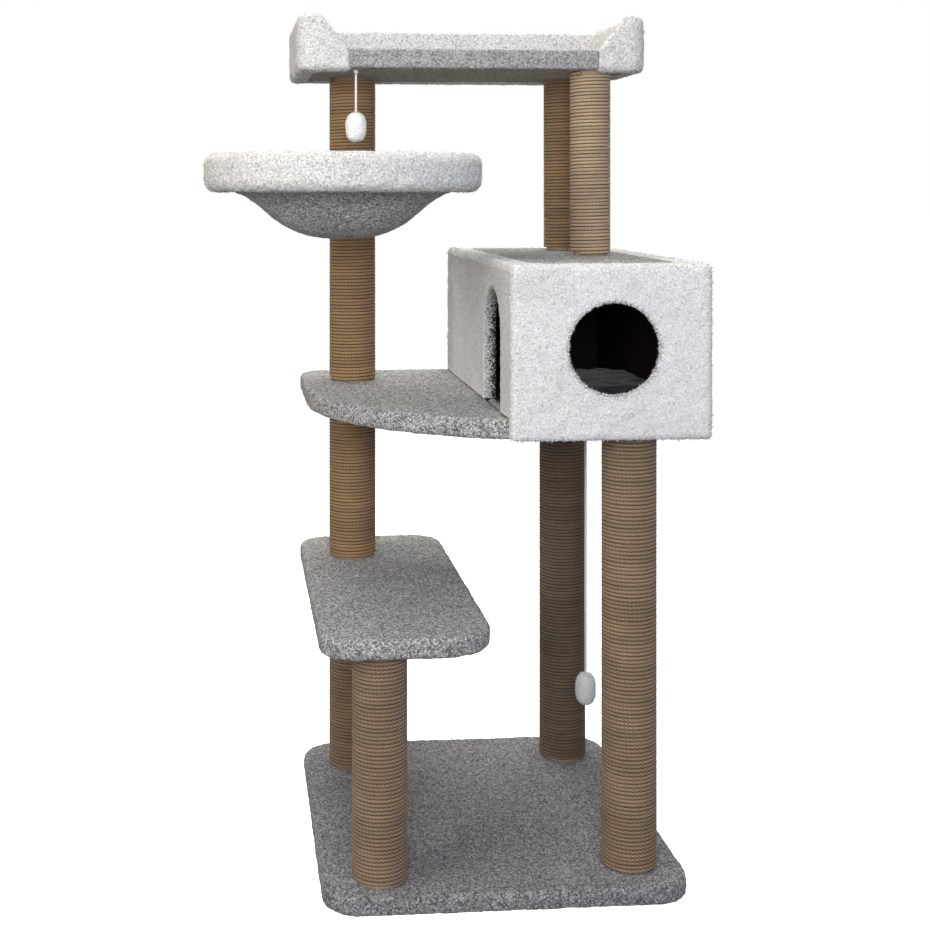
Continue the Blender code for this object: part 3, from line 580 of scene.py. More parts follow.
def makePompom(toy):
    low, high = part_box(toy + "_pompom")
    middle = (low + high) / 2
    half = np.array(high - low) / 2 - 0.0012
    rings, steps = 44, 72
    points, faces = [(0, 0, 1)], []
    for i in range(1, rings):
        rise = math.pi / 2 - math.pi * i / rings
        squareUp = math.copysign(abs(math.sin(rise)) ** 0.85, math.sin(rise))
        for j in range(steps):
            turn = 2 * math.pi * j / steps
            reach = math.cos(rise) ** 0.72
            points.append((reach * math.cos(turn), reach * math.sin(turn), squareUp))
    points.append((0, 0, -1))
    last = len(points) - 1
    for j in range(steps):
        k = (j + 1) % steps
        faces.append((0, 1 + j, 1 + k))
        for i in range(rings - 2):
            a = 1 + i * steps
            faces.append((a + j, a + steps + j, a + steps + k, a + k))
        a = 1 + (rings - 2) * steps
        faces.append((a + j, last, a + k))
    shape = np.array(points) * half
    pompom = makeMesh(toy + "_fluff", shape, faces)
    normals = readNormals(pompom.data)
    edges = readEdges(pompom.data)
    lumps = spread(scatter(shape, 3), edges, 2) - 0.5
    fine = scatter(shape, 9) - 0.5
    shape = shape + normals * (lumps * 0.0030 + fine * 0.0009)[:, None]
    writePoints(pompom.data, shape)
    pompom.location = middle
    finish(pompom, "fluff", toy, [toy + "_pompom"])
    pick = np.argsort(scatter(shape, 21))[: toySpec["locks"]]
    shortest, longest = toySpec["lockLength"]
    lean = np.stack([scatter(shape, s) - 0.5 for s in (31, 32, 33)], axis=1)
    lengths = shortest + (longest - shortest) * scatter(shape, 41)
    locks = cones(
        toy + "_locks", shape[pick] - normals[pick] * 0.0006, (normals + lean * 0.9)[pick], lengths[pick],
        [toySpec["lockRadius"]] * len(pick),
    )
    locks.location = middle
    finish(locks, "fluff", toy)
    return pompom, locks


for toy in ("tray_toy", "house_toy"):
    knot = makeKnot(toy)
    pompom, locks = makePompom(toy)
    cord = makeString(toy)
print("toys and strings made")


studio = {
    "floor": 60.0,
    "fillAbove": 0.12,
    "fillBelow": 0.13,
    "lamps": [
        # name, place, aimed at, width, height, watts, colour
        ("front softbox", (-0.45, -2.9, 1.5), (0.0, 0.0, 0.8), 1.2, 1.0, 55.4, (0.95, 0.96, 1.0)),
        ("left softbox", (-2.3, -1.3, 1.7), (0.0, 0.0, 0.8), 1.4, 1.4, 30.0, (1.0, 0.90, 0.76)),
        ("right softbox", (2.2, -1.8, 1.6), (0.0, 0.0, 0.8), 1.4, 1.4, 9.0, (0.72, 0.77, 1.0)),
        ("overhead softbox", (-0.3, -1.3, 2.7), (0.0, 0.0, 0.6), 2.2, 1.6, 16.5, (1.0, 1.0, 0.97)),
        ("back softbox", (0.1, 1.0, 2.8), (0.0, 0.0, 0.7), 2.2, 1.6, 68.0, (1.0, 0.97, 0.87)),
    ],
}


def makeStudio(spec):
    size = spec["floor"]
    corners = [(-size, -size, 0), (size, -size, 0), (size, size, 0), (-size, size, 0)]
    floor = makeMesh("floor", corners, [(0, 1, 2, 3)], False)
    tree, shader = newMaterial("floorWhite", roughness=0.9, specular=0.0)
    shader.inputs["Base Color"].default_value = (0.92, 0.92, 0.92, 1)
    shader.inputs["Emission Color"].default_value = (1, 1, 1, 1)
    shader.inputs["Emission Strength"].default_value = 0.95
    floor.data.materials.append(materials["floorWhite"])
    floor.visible_diffuse = False
    for name, place, target, width, height, watts, colour in spec["lamps"]:
        data = bpy.data.lights.new(name, "AREA")
        data.shape = "RECTANGLE"
        data.size, data.size_y = width, height
        data.energy = watts
        data.color = colour
        lamp = link(bpy.data.objects.new(name, data))
        lamp.location = place
        lamp.rotation_euler = (Vector(target) - Vector(place)).to_track_quat("-Z", "Y").to_euler()
    world = bpy.data.worlds.new("studio")
    world.use_nodes = True
    bpy.context.scene.world = world
    nodes, links = world.node_tree.nodes, world.node_tree.links
    seen = nodes["Background"]
    seen.inputs["Color"].default_value = (1, 1, 1, 1)
    lighting = nodes.new("ShaderNodeBackground")
    lighting.inputs["Color"].default_value = (1, 1, 1, 1)
    place = nodes.new("ShaderNodeTexCoord")
    split = nodes.new("ShaderNodeSeparateXYZ")
    links.new(place.outputs["Generated"], split.inputs[0])
    fill = nodes.new("ShaderNodeMapRange")
    fill.inputs["From Min"].default_value = -0.02
    fill.inputs["From Max"].default_value = 0.02
    fill.inputs["To Min"].default_value = spec["fillBelow"]
    fill.inputs["To Max"].default_value = spec["fillAbove"]
    links.new(split.outputs[2], fill.inputs[0])
    links.new(fill.outputs[0], lighting.inputs["Strength"])
    rays = nodes.new("ShaderNodeLightPath")
    mix = nodes.new("ShaderNodeMixShader")
    links.new(rays.outputs["Is Camera Ray"], mix.inputs[0])
    links.new(lighting.outputs[0], mix.inputs[1])
    links.new(seen.outputs[0], mix.inputs[2])
    links.new(mix.outputs[0], nodes["World Output"].inputs["Surface"])
    bpy.context.scene.view_settings.view_transform = "Standard"


makeStudio(studio)
print("studio set")


posts = {
    "tall_post_lower": "jute", "tall_post_middle": "juteGolden", "tall_post_upper": "juteGolden",
    "short_post": "jute", "rear_post": "juteShaded", "front_post": "jute",
    "roof_post_front": "jutePale", "roof_post_rear": "juteGolden",
}


def windRope(post, seed):
    low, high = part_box(post + "_rope")
    middle = (low + high) / 2
    outer = (high.x - low.x) / 2
    height = high.z - low.z
    turns = max(1, round(height / rope["pitch"]) - 1)
    pitch = height / (turns + 1)
    thick = pitch / 2 * 1.02
    flat = rope["flat"]
    count = turns * rope["steps"] + 1
    t = np.linspace(0, turns, count)
    turnAngle = 2 * math.pi * t + seed
    centreRadius = outer - thick * flat
    sway = 0.35 * np.sin(t * 2.1 + seed) + 0.35 * np.sin(t * 5.7 + 2 * seed) + 0.3 * np.sin(t * 11.3)
    ease = np.minimum(1, np.minimum(t, turns - t))
    centreZ = low.z + thick + t * pitch + ease * sway * rope["slack"]
    along = t * 2 * math.pi * centreRadius
    around = np.radians(np.array(rope["section"]))
    strand = 3 * (around[None, :] + 2 * math.pi * along[:, None] / rope["lay"])
    bulge = thick - rope["lobe"] * (0.5 - 0.5 * np.cos(strand))
    uneven = 0.00018 * np.sin(t * 3.3 + seed)[:, None] + 0.00012 * np.sin(t * 17.9)[:, None]
    bulge = bulge + np.where(np.cos(around) > 0, uneven, 0)
    bulge[:, -1] = thick * 0.90
    bulge = np.minimum(bulge, thick)
    reach = centreRadius + bulge * flat * np.cos(around)[None, :]
    level = centreZ[:, None] + bulge * np.sin(around)[None, :]
    x = middle.x + reach * np.cos(turnAngle)[:, None]
    y = middle.y + reach * np.sin(turnAngle)[:, None]
    points = np.stack([x, y, level], axis=2).reshape(-1, 3)
    sides = len(around)
    ring = np.arange(count - 1)[:, None] * sides
    k = np.arange(sides)[None, :]
    k2 = (k + 1) % sides
    quads = np.stack([ring + k, ring + sides + k, ring + sides + k2, ring + k2], axis=2).reshape(-1, 4)
    faces = quads.tolist()
    faces.append(list(range(sides)))
    faces.append([(count - 1) * sides + i for i in reversed(range(sides))])
    winding = makeMesh(post + "_winding", points, faces)
    route = winding.data.uv_layers.new(name="ropeRoute")
    aroundTurns = np.radians(np.array(rope["section"])) / (2 * math.pi)
    uv = np.zeros((len(winding.data.loops), 2))
    u0 = np.repeat(along[:-1], sides)
    u1 = np.repeat(along[1:], sides)
    v0 = np.tile(aroundTurns, count - 1)
    v1 = np.tile(np.append(aroundTurns[1:], aroundTurns[0] + 1), count - 1)
    corners = np.stack([np.stack(pair, 1) for pair in ((u0, v0), (u1, v0), (u1, v1), (u0, v1))], 1)
    uv[: len(quads) * 4] = corners.reshape(-1, 2)
    route.data.foreach_set("uv", uv.ravel())
    return finish(winding, posts[post], "root", [post + "_rope"])


for seed, post in enumerate(posts):
    windRope(post, seed * 1.7)
print("posts wound:", len(posts))


pileSpec = {
    "voxel": 0.0030,
    "tuft": 0.00055,               # how far single tufts stand out or in
    "lump": 0.0010,                # slow unevenness of the nap
    "jitter": 0.0009,
    "clearance": 0.0003,
    "onFloor": 0.002,              # pile that starts lower than this stays off the floor
}
napSpec = {
    "sunk": 0.0012,
    "length": (0.0024, 0.0050),
    "radius": (0.0006, 0.0014),
    "lean": 1.3,
    "edge": 0.012,                 # how far from an edge of the house its tufts stand
}


def hullOutline(points):
    # the convex outline of the points, going anticlockwise
    unique = sorted({(round(x, 5), round(y, 5)) for x, y in points})
    halves = []
    for ordered in (unique, unique[::-1]):
        half = []
        for p in ordered:
            while len(half) > 1 and (
                (half[-1][0] - half[-2][0]) * (p[1] - half[-2][1])
                - (half[-1][1] - half[-2][1]) * (p[0] - half[-2][0])
            ) <= 1e-9:
                half.pop()
            half.append(p)
        halves += half[:-1]
    return np.array(halves)


def sideDepth(points, outline):
    # how deep each point lies behind the outline, and the inward direction there
    depth = np.full(len(points), 1e9)
    inward = np.zeros((len(points), 2))
    gap = np.full(len(points), 1e9)
    for a, b in zip(outline, np.roll(outline, -1, axis=0)):
        side = b - a
        share = np.clip(((points - a) @ side) / (side @ side), 0, 1)
        away = np.linalg.norm(points - (a + share[:, None] * side), axis=1)
        normal = np.array((-side[1], side[0])) / np.linalg.norm(side)
        closer = away < gap
        gap[closer] = away[closer]
        depth[closer] = ((points - a) @ normal)[closer]
        inward[closer] = normal
    return depth, inward


def roundOver(points, outline, level, radius, upward, squareEnd=None):
    # rolls the edge between the sides and the face at this level, apart from a side that faces squareEnd
    depth, inward = sideDepth(points[:, :2], outline)
    drop = (level - points[:, 2]) * upward
    u, w = radius - depth, radius - drop
    length = np.hypot(u, w)
    edge = (u > 0) & (w > 0) & (length > radius)
    if squareEnd:
        edge &= inward @ np.array(squareEnd) > -0.9
    scale = np.where(edge, radius / np.maximum(length, 1e-9), 1.0)
    points[:, :2] += inward * (u * (1 - scale))[:, None]
    points[:, 2] -= upward * (w * (1 - scale))
    return points


def solidTree(names):
    points, faces = [], []
    for name in names:
        mesh = cadNodes[name].data
        first = len(points)
        points += [v.co.copy() for v in mesh.vertices]
        faces += [tuple(first + i for i in p.vertices) for p in mesh.polygons]
    return BVHTree.FromPolygons(points, faces)


def makeBox(name, low, high):
    points = [(x, y, z) for x in (low[0], high[0]) for y in (low[1], high[1]) for z in (low[2], high[2])]
    faces = [(0, 1, 3, 2), (4, 6, 7, 5), (0, 4, 5, 1), (2, 3, 7, 6), (0, 2, 6, 4), (1, 5, 7, 3)]
    return makeMesh(name, points, faces)


def remeshed(obj, voxel):
    grid = obj.modifiers.new("Grid", "REMESH")
    grid.mode = "VOXEL"
    grid.voxel_size = voxel
    bpy.context.view_layer.update()
    graph = bpy.context.evaluated_depsgraph_get()
    mesh = bpy.data.meshes.new_from_object(obj.evaluated_get(graph))
    obj.modifiers.clear()
    obj.data = mesh
    mesh.polygons.foreach_set("use_smooth", [True] * len(mesh.polygons))
    return obj


def layPile(
    obj, material, nodes, around, topRound=0.0, bottomRound=0.0, soften=1, squareEnd=None,
    melt=(), tuft=1.0, tuckIn=0.0,
):
    # turns a plain closed shell into carpet: fine grid, rolled edges, tufts, and clear of what it wraps
    remeshed(obj, pileSpec["voxel"])
    mesh = obj.data
    points = readPoints(mesh)
    edges = readEdges(mesh)
    if topRound or bottomRound:
        outline = hullOutline(points[:, :2])
        if topRound:
            points = roundOver(points, outline, points[:, 2].max(), topRound, 1, squareEnd)
        if bottomRound:
            points = roundOver(points, outline, points[:, 2].min(), bottomRound, -1, squareEnd)
    if tuckIn:
        # the right-hand end goes on under the wall that stands over it
        points[:, 0] += tuckIn * (points[:, 0] > points[:, 0].max() - pileSpec["voxel"])
    for spot, radius, rounds in melt:
        # wears a sharp corner down to a soft one
        share = np.clip(1.5 * (1 - np.linalg.norm(points - np.array(spot), axis=1) / radius), 0, 1)[:, None]
        worn = points
        for _ in range(rounds):
            worn = np.stack([spread(worn[:, i], edges, 1) for i in range(3)], axis=1)
            worn = points * (1 - share) + worn * share
        points = worn
    lowest = points[:, 2].min()
    for _ in range(soften):
        points = np.stack([spread(points[:, i], edges, 1) for i in range(3)], axis=1)
    writePoints(mesh, points)
    normals = readNormals(mesh)
    tree = solidTree(around)
    free = np.ones(len(points))
    nearest = [tree.find_nearest(p, 0.004) for p in points.tolist()] if around else []
    for i, (place, normal, _, distance) in enumerate(nearest):
        if place is not None:
            free[i] = min(1.0, max(0.0, (distance - 0.0012) / 0.002))
    white = scatter(points, 5) - 0.5
    lumps = spread(scatter(points, 8), edges, 6) - 0.5
    step = free * tuft * (2 * pileSpec["tuft"] * white + 7 * pileSpec["lump"] * lumps)
    shift = np.stack([scatter(points, s) - 0.5 for s in (13, 14, 15)], axis=1)
    shift -= normals * (shift * normals).sum(axis=1)[:, None]
    points = points + normals * step[:, None] + shift * (2 * pileSpec["jitter"] * free)[:, None]
    for i, (place, normal, _, distance) in enumerate(nearest):
        if place is not None:
            ahead = (Vector(points[i]) - place).dot(normal)
            if ahead < pileSpec["clearance"]:
                points[i] += np.array(normal) * (pileSpec["clearance"] - ahead)
    if lowest < pileSpec["onFloor"]:
        points[:, 2] = np.maximum(points[:, 2], min(lowest, 0.0))
    writePoints(mesh, points)
    return finish(obj, material, "root", nodes)


def copyOf(node, name, *others):
    mesh = cadNodes[node].data.copy()
    mesh.materials.clear()
    if others:
        # the grid closes the hair's breadth between them, so they become one wrapped wall
        joined = bmesh.new()
        for part in (mesh, *others):
            joined.from_mesh(part)
        joined.to_mesh(mesh)
        joined.free()
    return link(bpy.data.objects.new(name, mesh))


def trayHem():
    # carpet folded in under the tray's left, back and right edges and under its two raised front ends
    low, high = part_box("tray_cover")
    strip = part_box("tray_front_strip")
    outline = hullOutline(readPoints(cadNodes["tray_cover"].data)[:, :2])
    first = int(np.argmin(outline[:, 1] * 10 - outline[:, 0]))
    outline = np.roll(outline, -first, axis=0)
    path = np.array([(strip[1].x, low.y), *outline, (strip[0].x, low.y)])
    middle = np.array(((low.x + high.x) / 2, (low.y + high.y) / 2))
    half = np.array(((high.x - low.x) / 2, (high.y - low.y) / 2))
    inner = middle + (path - middle) * (1 - hem["width"] / half)
    inner[0, 0], inner[-1, 0] = path[0, 0], path[-1, 0]
    points = []
    for outside, inside in zip(path, inner):
        for x, y in (outside, inside):
            points += [(x, y, low.z - hem["below"]), (x, y, low.z + hem["above"])]
    faces = [(0, 1, 3, 2), tuple(len(points) - i for i in (4, 2, 1, 3))]
    for i in range(0, len(points) - 4, 4):
        faces += [(i + a, i + 4 + a, i + 4 + b, i + b) for a, b in ((0, 1), (1, 3), (3, 2), (2, 0))]
    folded = bmesh.new()
    for point in points:
        folded.verts.new(point)
    folded.verts.ensure_lookup_table()
    for face in faces:
        folded.faces.new([folded.verts[i] for i in face])
    bmesh.ops.recalc_face_normals(folded, faces=folded.faces)
    mesh = bpy.data.meshes.new("tray_hem")
    folded.to_mesh(mesh)
    folded.free()
    return mesh


def nap(pile, name, material, slotName, count, near, longer=1.0):
    # loose tufts standing out of the pile where near says
    points, normals = readPoints(pile.data), readNormals(pile.data)
    pick = np.argsort(np.where(near(points), scatter(points, 51), 2.0))[:count]
    points, normals = points[pick], normals[pick]
    lean = np.stack([scatter(points, s) - 0.5 for s in (52, 53, 54)], axis=1)
    (low, high), (thin, thick) = napSpec["length"], napSpec["radius"]
    lengths = longer * (low + (high - low) * scatter(points, 55) ** 2)
    radii = thin + (thick - thin) * scatter(points, 56)
    starts = points - normals * napSpec["sunk"]
    tufts = cones(name, starts, normals + lean * napSpec["lean"], lengths, radii, 5)
    return finish(tufts, material)


def nearEdges(low, high, reach):
    # picks the places within reach of at least two of the box's sides
    def pick(points):
        close = (points - np.array(low) < reach) | (np.array(high) - points < reach)
        return close.sum(axis=1) >= 2
    return pick


def turnedShell(name, profile, centre, steps=160):
    # a closed ring or bowl from a closed profile of (radius, z)
    points, faces = [], []
    for j in range(steps):
        turn = 2 * math.pi * j / steps
        for radius, z in profile:
            points.append((centre[0] + radius * math.cos(turn), centre[1] + radius * math.sin(turn), z))
    n = len(profile)
    for j in range(steps):
        a, b = j * n, ((j + 1) % steps) * n
        for i in range(n):
            k = (i + 1) % n
            faces.append((a + i, b + i, b + k, a + k))
    obj = makeMesh(name, points, faces)
    mesh = obj.data
    shell = bmesh.new()
    shell.from_mesh(mesh)
    bmesh.ops.remove_doubles(shell, verts=shell.verts, dist=1e-5)
    bmesh.ops.recalc_face_normals(shell, faces=shell.faces)
    shell.to_mesh(mesh)
    shell.free()
    return obj


hem = {"width": 0.034, "below": 0.0040, "above": 0.0020}
slab = {"top": 0.0085, "bottom": 0.0070, "tuckIn": 0.0062}
houseWrap = {"top": 0.0125, "bottom": 0.0090, "tuft": 0.7}
trayWrap = {"top": 0.0160, "bottom": 0.0130, "strip": 0.0060}
napCount = {"houseEdge": 7000, "houseFace": 7000, "tray": 7000, "rim": 9000}
trayLow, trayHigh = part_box("tray_cover")
# the tops of the slopes beside the low stretch of the tray's front wall: place, reach and rounds of wear
hornTips = [
    ((x, trayLow.y + 0.008, trayHigh.z), 0.030, 14) for x in (trayLow.x + 0.045, trayHigh.x - 0.041)
]

housePanels = ["house_" + side + "_panel" for side in ("front", "left", "right", "back", "roof")]

layPile(
    copyOf("base_carpet", "base_pile"), "basePileShaded", ["base_carpet"], ["base_board"],
    slab["top"],
)
layPile(
    copyOf("shelf_carpet", "shelf_pile"), "greyPile", ["shelf_carpet"], ["shelf_board"],
    slab["top"], slab["bottom"],
)
layPile(
    copyOf("platform_carpet", "platform_pile"), "greyPile", ["platform_carpet"],
    ["platform_board"], slab["top"], slab["bottom"], squareEnd=(1, 0), tuckIn=slab["tuckIn"],
)
housePile = layPile(
    copyOf("house_cover", "house_pile"), "housePile", ["house_cover"],
    [*housePanels, "platform_board"], houseWrap["top"], houseWrap["bottom"], tuft=houseWrap["tuft"],
)
houseLow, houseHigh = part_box("house_cover")


def wearPorthole(pile):
    # paws have pushed the pile back round the round entrance
    points = readPoints(pile.data)
    x0, _, z0 = porthole["centre"]
    away = points[:, (0, 2)] - np.array((x0, z0))
    distance = np.linalg.norm(away, axis=1)
    share = np.clip(1 - (distance - porthole["radius"]) / porthole["reach"], 0, 1)
    share *= points[:, 1] < houseLow.y + 0.03
    points[:, (0, 2)] += away / np.maximum(distance, 1e-6)[:, None] * (porthole["worn"] * share)[:, None]
    writePoints(pile.data, points)


wearPorthole(housePile)
nap(
    housePile, "house_edge_nap", "housePile", "white_carpet", napCount["houseEdge"],
    nearEdges(houseLow, houseHigh, napSpec["edge"]), 1.4,
)
nap(
    housePile, "house_face_nap", "housePile", "white_carpet", napCount["houseFace"],
    lambda p: p[:, 1] < houseLow.y + 0.003,
)
layPile(copyOf("roof_carpet", "roof_pile"), "greyPile", ["roof_carpet"], ["house_roof_panel"])
trayPile = layPile(
    copyOf("tray_cover", "tray_pile", cadNodes["tray_wall"].data, trayHem()), "bedPile",
    ["tray_cover", "tray_wall"], ["tray_board"], trayWrap["top"], trayWrap["bottom"], soften=3, melt=hornTips,
)
nap(
    trayPile, "tray_nap", "bedPile", "white_carpet", napCount["tray"],
    lambda p: (p[:, 1] < trayLow.y + 0.03) | (p[:, 2] < trayLow.z + 0.006) | (p[:, 2] > trayHigh.z - 0.008),
)
layPile(
    copyOf("tray_front_strip", "tray_strip_pile"), "stripPile", ["tray_front_strip"],
    ["tray_board"], trayWrap["strip"], trayWrap["strip"],
)
layPile(
    copyOf("tray_floor_carpet", "tray_floor_pile"), "greyPile", ["tray_floor_carpet"],
    ["tray_board"],
)
print("flat carpets laid")


bowl = {
    "rimWidth": 0.0500,
    "rimRound": 0.0190,
    "skin": 0.0080,
    "carpet": 0.0070,
    # outside of the hanging bowl: share of its radius, share of its depth
    "section": [
        (1.000, 0.000), (1.000, 0.350), (0.925, 0.415), (0.800, 0.530), (0.680, 0.680), (0.545, 0.825),
        (0.360, 0.945), (0.180, 0.992), (0.000, 1.000),
    ],
}


def smoothLine(points, fineness):
    # a smooth curve through the points
    line = []
    n = len(points)
    for i in range(n - 1):
        p0, p1, p2, p3 = (np.array(points[min(max(i + s, 0), n - 1)]) for s in (-1, 0, 1, 2))
        for j in range(fineness):
            t = j / fineness
            line.append(
                0.5 * (2 * p1 + (p2 - p0) * t + (2 * p0 - 5 * p1 + 4 * p2 - p3) * t ** 2
                       + (3 * p1 - p0 - 3 * p2 + p3) * t ** 3)
            )
    line.append(np.array(points[-1]))
    return line


def roundSection(inner, outer, low, high, corner, slit):
    middle = (inner + outer) / 2
    section = [(middle + slit, low)]
    for cx, cz, start in (
        (outer - corner, low + corner, 270), (outer - corner, high - corner, 0),
        (inner + corner, high - corner, 90), (inner + corner, low + corner, 180),
    ):
        for i in range(9):
            angle = math.radians(start + 90 * i / 8)
            section.append((cx + corner * math.cos(angle), cz + corner * math.sin(angle)))
    return section + [(middle - slit, low)]


def makeBowl():
    low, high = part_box("bowl_rim_carpet")
    centre = ((low.x + high.x) / 2, (low.y + high.y) / 2)
    outer = (high.x - low.x) / 2
    inner = outer - bowl["rimWidth"]
    c = bowl["carpet"]
    section = roundSection(inner, outer, low.z, high.z, bowl["rimRound"], 0.001)
    hollow = roundSection(inner + c, outer - c, low.z + c, high.z - c, bowl["rimRound"] - c, 0.001)
    rim = turnedShell("bowl_rim_pile", section[::-1] + hollow, centre, 200)
    rimPile = layPile(rim, "bedPile", ["bowl_rim_carpet"], ["bowl_hoop"])
    nap(rimPile, "bowl_rim_nap", "bedPile", "white_carpet", napCount["rim"], lambda p: np.ones(len(p), bool))
    bottom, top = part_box("bowl_skin")
    reach, depth = (top.x - bottom.x) / 2, top.z - bottom.z
    outside = smoothLine([(reach * r, top.z - depth * d) for r, d in bowl["section"]], 6)
    inside = []
    for i, p in enumerate(outside):
        ahead = outside[min(i + 1, len(outside) - 1)] - outside[max(i - 1, 0)]
        ahead = ahead / np.linalg.norm(ahead)
        inside.append((max(p[0] + bowl["skin"] * ahead[1], 0), p[1] - bowl["skin"] * ahead[0]))
    inside[0] = (outside[0][0] - bowl["skin"], top.z)
    inside[-1] = (0, outside[-1][1] + bowl["skin"])
    profile = [tuple(p) for p in inside[::-1]] + [tuple(p) for p in outside]
    skin = turnedShell("bowl_skin_pile", profile, centre, 160)
    layPile(skin, "greyPile", ["bowl_skin"], [])


makeBowl()
print("bowl made")


fringe = {
    "porthole": 1150, "door": 1500, "foot": 1300,
    "length": (0.0022, 0.0068),
    "radius": (0.0008, 0.0017),
    "reach": 0.006,
    "lining": 0.0028,              # thickness of the pile turned in round the doorway
}
shortest, longest = fringe["length"]
thinnest, thickest = fringe["radius"]


def seeded(count, seed):
    return scatter(np.arange(count * 3).reshape(-1, 3) * 0.00137, seed)


def portholeFringe():
    low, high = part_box("house_cover")
    n = fringe["porthole"]
    angle = 2 * math.pi * seeded(n, 1)
    x0, _, z0 = porthole["centre"]
    inwards = np.stack([-np.cos(angle), np.zeros(n), -np.sin(angle)], axis=1)
    sideways = np.stack([-np.sin(angle), np.zeros(n), np.cos(angle)], axis=1)
    starts = np.array((x0, 0, z0)) - inwards * (porthole["radius"] + porthole["worn"])
    starts[:, 1] = low.y + 0.0006 + fringe["reach"] * seeded(n, 2) ** 1.5
    forward = np.array((0, -1, 0))
    directions = (
        inwards * (0.35 + 0.65 * seeded(n, 3))[:, None] + sideways * (1.3 * (seeded(n, 4) - 0.5))[:, None]
        + forward * (0.9 * seeded(n, 5))[:, None]
    )
    lengths = shortest + (longest - shortest) * seeded(n, 6) ** 1.8
    radii = thinnest + (thickest - thinnest) * seeded(n, 7)
    finish(cones("porthole_fringe", starts, directions, lengths, radii, 5), "housePile")


def doorwayLine(steps=64):
    # the arched edge of the doorway, from its back foot over the top to its front foot: y, z and the way in
    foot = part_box("platform_carpet")[1].z + 0.001
    middle = (door["front"] + door["back"]) / 2
    radius = (door["back"] - door["front"]) / 2
    spring = door["top"] - radius
    line = [(door["back"], foot + (spring - foot) * i / 20, -1.0, 0.0) for i in range(20)]
    for i in range(steps + 1):
        across, up = math.cos(math.pi * i / steps), math.sin(math.pi * i / steps)
        line.append((middle + radius * across, spring + radius * up, -across, -up))
    line += [(door["front"], spring - (spring - foot) * (i + 1) / 20, 1.0, 0.0) for i in range(20)]
    return np.array(line)


def doorLining():
    # pile turned in over the edge of the doorway, with loose tufts on it
    cover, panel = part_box("house_cover")[0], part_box("house_left_panel")[1]
    near, far = cover.x + 0.0012, panel.x - 0.0006
    line = doorwayLine()
    thick = fringe["lining"]
    section = [
        (near, 0.0003), (far, 0.0003), (far, thick * 0.6),
        (far - 0.002, thick), (near + 0.002, thick), (near, thick * 0.6),
    ]
    points = [(x, y + dy * away, z + dz * away) for y, z, dy, dz in line for x, away in section]
    n = len(section)
    faces = [
        (i * n + k, i * n + (k + 1) % n, (i + 1) * n + (k + 1) % n, (i + 1) * n + k)
        for i in range(len(line) - 1) for k in range(n)
    ]
    faces += [tuple(reversed(range(n))), tuple((len(line) - 1) * n + k for k in range(n))]
    lining = makeMesh("door_lining", points, faces)
    shell = bmesh.new()
    shell.from_mesh(lining.data)
    bmesh.ops.recalc_face_normals(shell, faces=shell.faces)
    bmesh.ops.subdivide_edges(shell, edges=shell.edges, cuts=2, use_grid_fill=True)
    shell.to_mesh(lining.data)
    shell.free()
    shape = readPoints(lining.data)
    normals = readNormals(lining.data)
    writePoints(lining.data, shape + normals * (0.0006 * (scatter(shape, 6) - 0.75))[:, None])
    finish(lining, "jambPileShaded")
    n = fringe["door"]
    pick = np.minimum((seeded(n, 11) * len(line)).astype(int), len(line) - 1)
    y, z, dy, dz = line[pick].T
    slide = 0.004 * (seeded(n, 12) - 0.5)
    sunk = thick * 0.6
    starts = np.stack(
        [near + (far - near) * seeded(n, 13), y + dy * sunk + dz * slide, z + dz * sunk - dy * slide], axis=1
    )
    starts[:, 2] = np.maximum(starts[:, 2], line[0, 1] + 0.001)
    lean = [seeded(n, seed) - 0.5 for seed in (15, 16)]
    directions = np.stack(
        [1.6 * (seeded(n, 14) - 0.65), dy * 0.7 + dz * lean[0], dz * 0.7 - dy * lean[1]], axis=1
    )
    lengths = shortest * 0.8 + (longest - shortest) * 0.5 * seeded(n, 17) ** 2
    radii = thinnest + (thickest - thinnest) * seeded(n, 18)
    finish(cones("door_fringe", starts, directions, lengths, radii, 5), "jambPileShaded")


def wallFoot():
    # the wall's pile brushes over the platform along its foot, and carpet fills the doorway's sill
    cover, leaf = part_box("house_cover"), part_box("platform_carpet")
    n = fringe["foot"]
    y = leaf[0].y + 0.03 + (cover[1].y - leaf[0].y - 0.045) * seeded(n, 21)
    kept = (y < door["front"] - 0.001) | (y > door["back"] + 0.001)
    level = leaf[1].z + 0.0030 + 0.002 * seeded(n, 22)
    starts = np.stack([np.full(n, cover[0].x + 0.0008), y, level], axis=1)
    directions = np.stack([-0.45 - 0.3 * seeded(n, 23), seeded(n, 24) - 0.5, np.full(n, -0.9)], axis=1)
    lengths = 0.0022 + 0.0022 * seeded(n, 25)
    radii = 0.0008 + 0.0006 * seeded(n, 26)
    brushed = cones("wall_foot", starts[kept], directions[kept], lengths[kept], radii[kept], 5)
    finish(brushed, "housePile")
    near, far = cover[0].x + 0.0066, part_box("house_left_panel")[1].x - 0.0006
    sill = makeBox(
        "door_sill", (near, door["front"] + 0.0006, leaf[1].z - 0.0069),
        (far, door["back"] - 0.0006, leaf[1].z),
    )
    layPile(sill, "greyPile", [], [])


portholeFringe()
doorLining()
wallFoot()
print("entrances trimmed")


cushionSpec = {"voxel": 0.0055, "start": 0.010, "cap": 0.014, "fill": 0.65, "frames": 20}


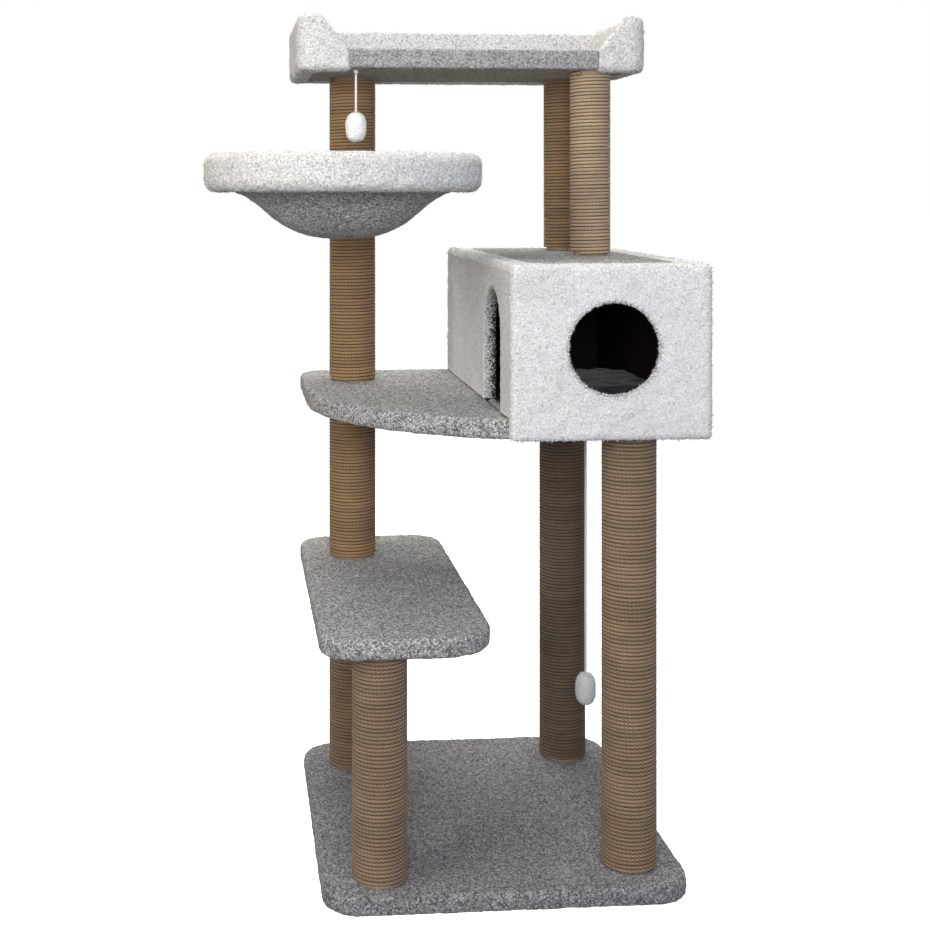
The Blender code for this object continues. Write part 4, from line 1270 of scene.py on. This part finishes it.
def makeCushion(spec):
    low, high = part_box("house_cushion")
    cushion = copyOf("house_cushion", "cushion")
    remeshed(cushion, spec["voxel"])
    mesh = cushion.data
    middle, half = np.array((low + high) / 2), np.array((high - low) / 2)
    points = middle + (readPoints(mesh) - middle) * (1 - spec["start"] / half)
    writePoints(mesh, points)
    cloth = cushion.modifiers.new("Puff", "CLOTH")
    cloth.settings.quality = 5
    cloth.settings.use_pressure = True
    cloth.settings.uniform_pressure_force = 4
    cloth.settings.tension_stiffness = 8
    cloth.settings.compression_stiffness = 8
    cloth.settings.bending_stiffness = 0.3
    cloth.settings.effector_weights.gravity = 0
    cloth.point_cache.frame_start = 1
    cloth.point_cache.frame_end = spec["frames"]
    for number in range(1, spec["frames"] + 1):
        bpy.context.scene.frame_set(number)
    graph = bpy.context.evaluated_depsgraph_get()
    puffed = bpy.data.meshes.new_from_object(cushion.evaluated_get(graph))
    moved = readPoints(puffed) - points
    length = np.linalg.norm(moved, axis=1)
    moved *= np.minimum(1, spec["cap"] / np.maximum(length, 1e-9))[:, None]
    points = points + moved
    cushion.modifiers.clear()
    bpy.context.scene.frame_set(1)
    edges = readEdges(mesh)
    writePoints(mesh, points)
    normals = readNormals(mesh)
    # creases that run across the slack top
    folds = np.sin(points[:, 0] * 95 + 3 * np.sin(points[:, 1] * 31)) * np.sin(points[:, 1] * 40 + 2)
    folds += 0.6 * np.sin(points[:, 0] * 60 - points[:, 1] * 120)
    lumps = spread(scatter(points, 4), edges, 10) - 0.5
    upper = np.clip((points[:, 2] - low.z) / (high.z - low.z), 0, 1)
    points = points + normals * (upper * (0.0016 * folds + 0.02 * lumps))[:, None]
    points[:, 2] = np.clip(points[:, 2], low.z + 0.0002, high.z + 0.012)
    writePoints(mesh, points)
    cushion.modifiers.new("Smooth", "SUBSURF").levels = 1
    cushion.modifiers["Smooth"].render_levels = 1
    finish(cushion, "fleece", "root", ["house_cushion"])


makeCushion(cushionSpec)
print("cushion made")


boards = dict.fromkeys(("base_board", "shelf_board", "platform_board", "bowl_hoop"), "plywood")
boards["tray_board"] = "underFelt"
for name, node in cadNodes.items():
    if node.hide_render:
        continue
    if name.startswith("house_"):
        choice = "houseBoardShade"
    elif name in boards:
        choice = boards[name]
    elif name.endswith("_core"):
        choice = "postCore"
    else:
        choice = "zinc"
    node.data.materials.clear()
    node.data.materials.append(materials[choice])
print("carried-over solids finished")
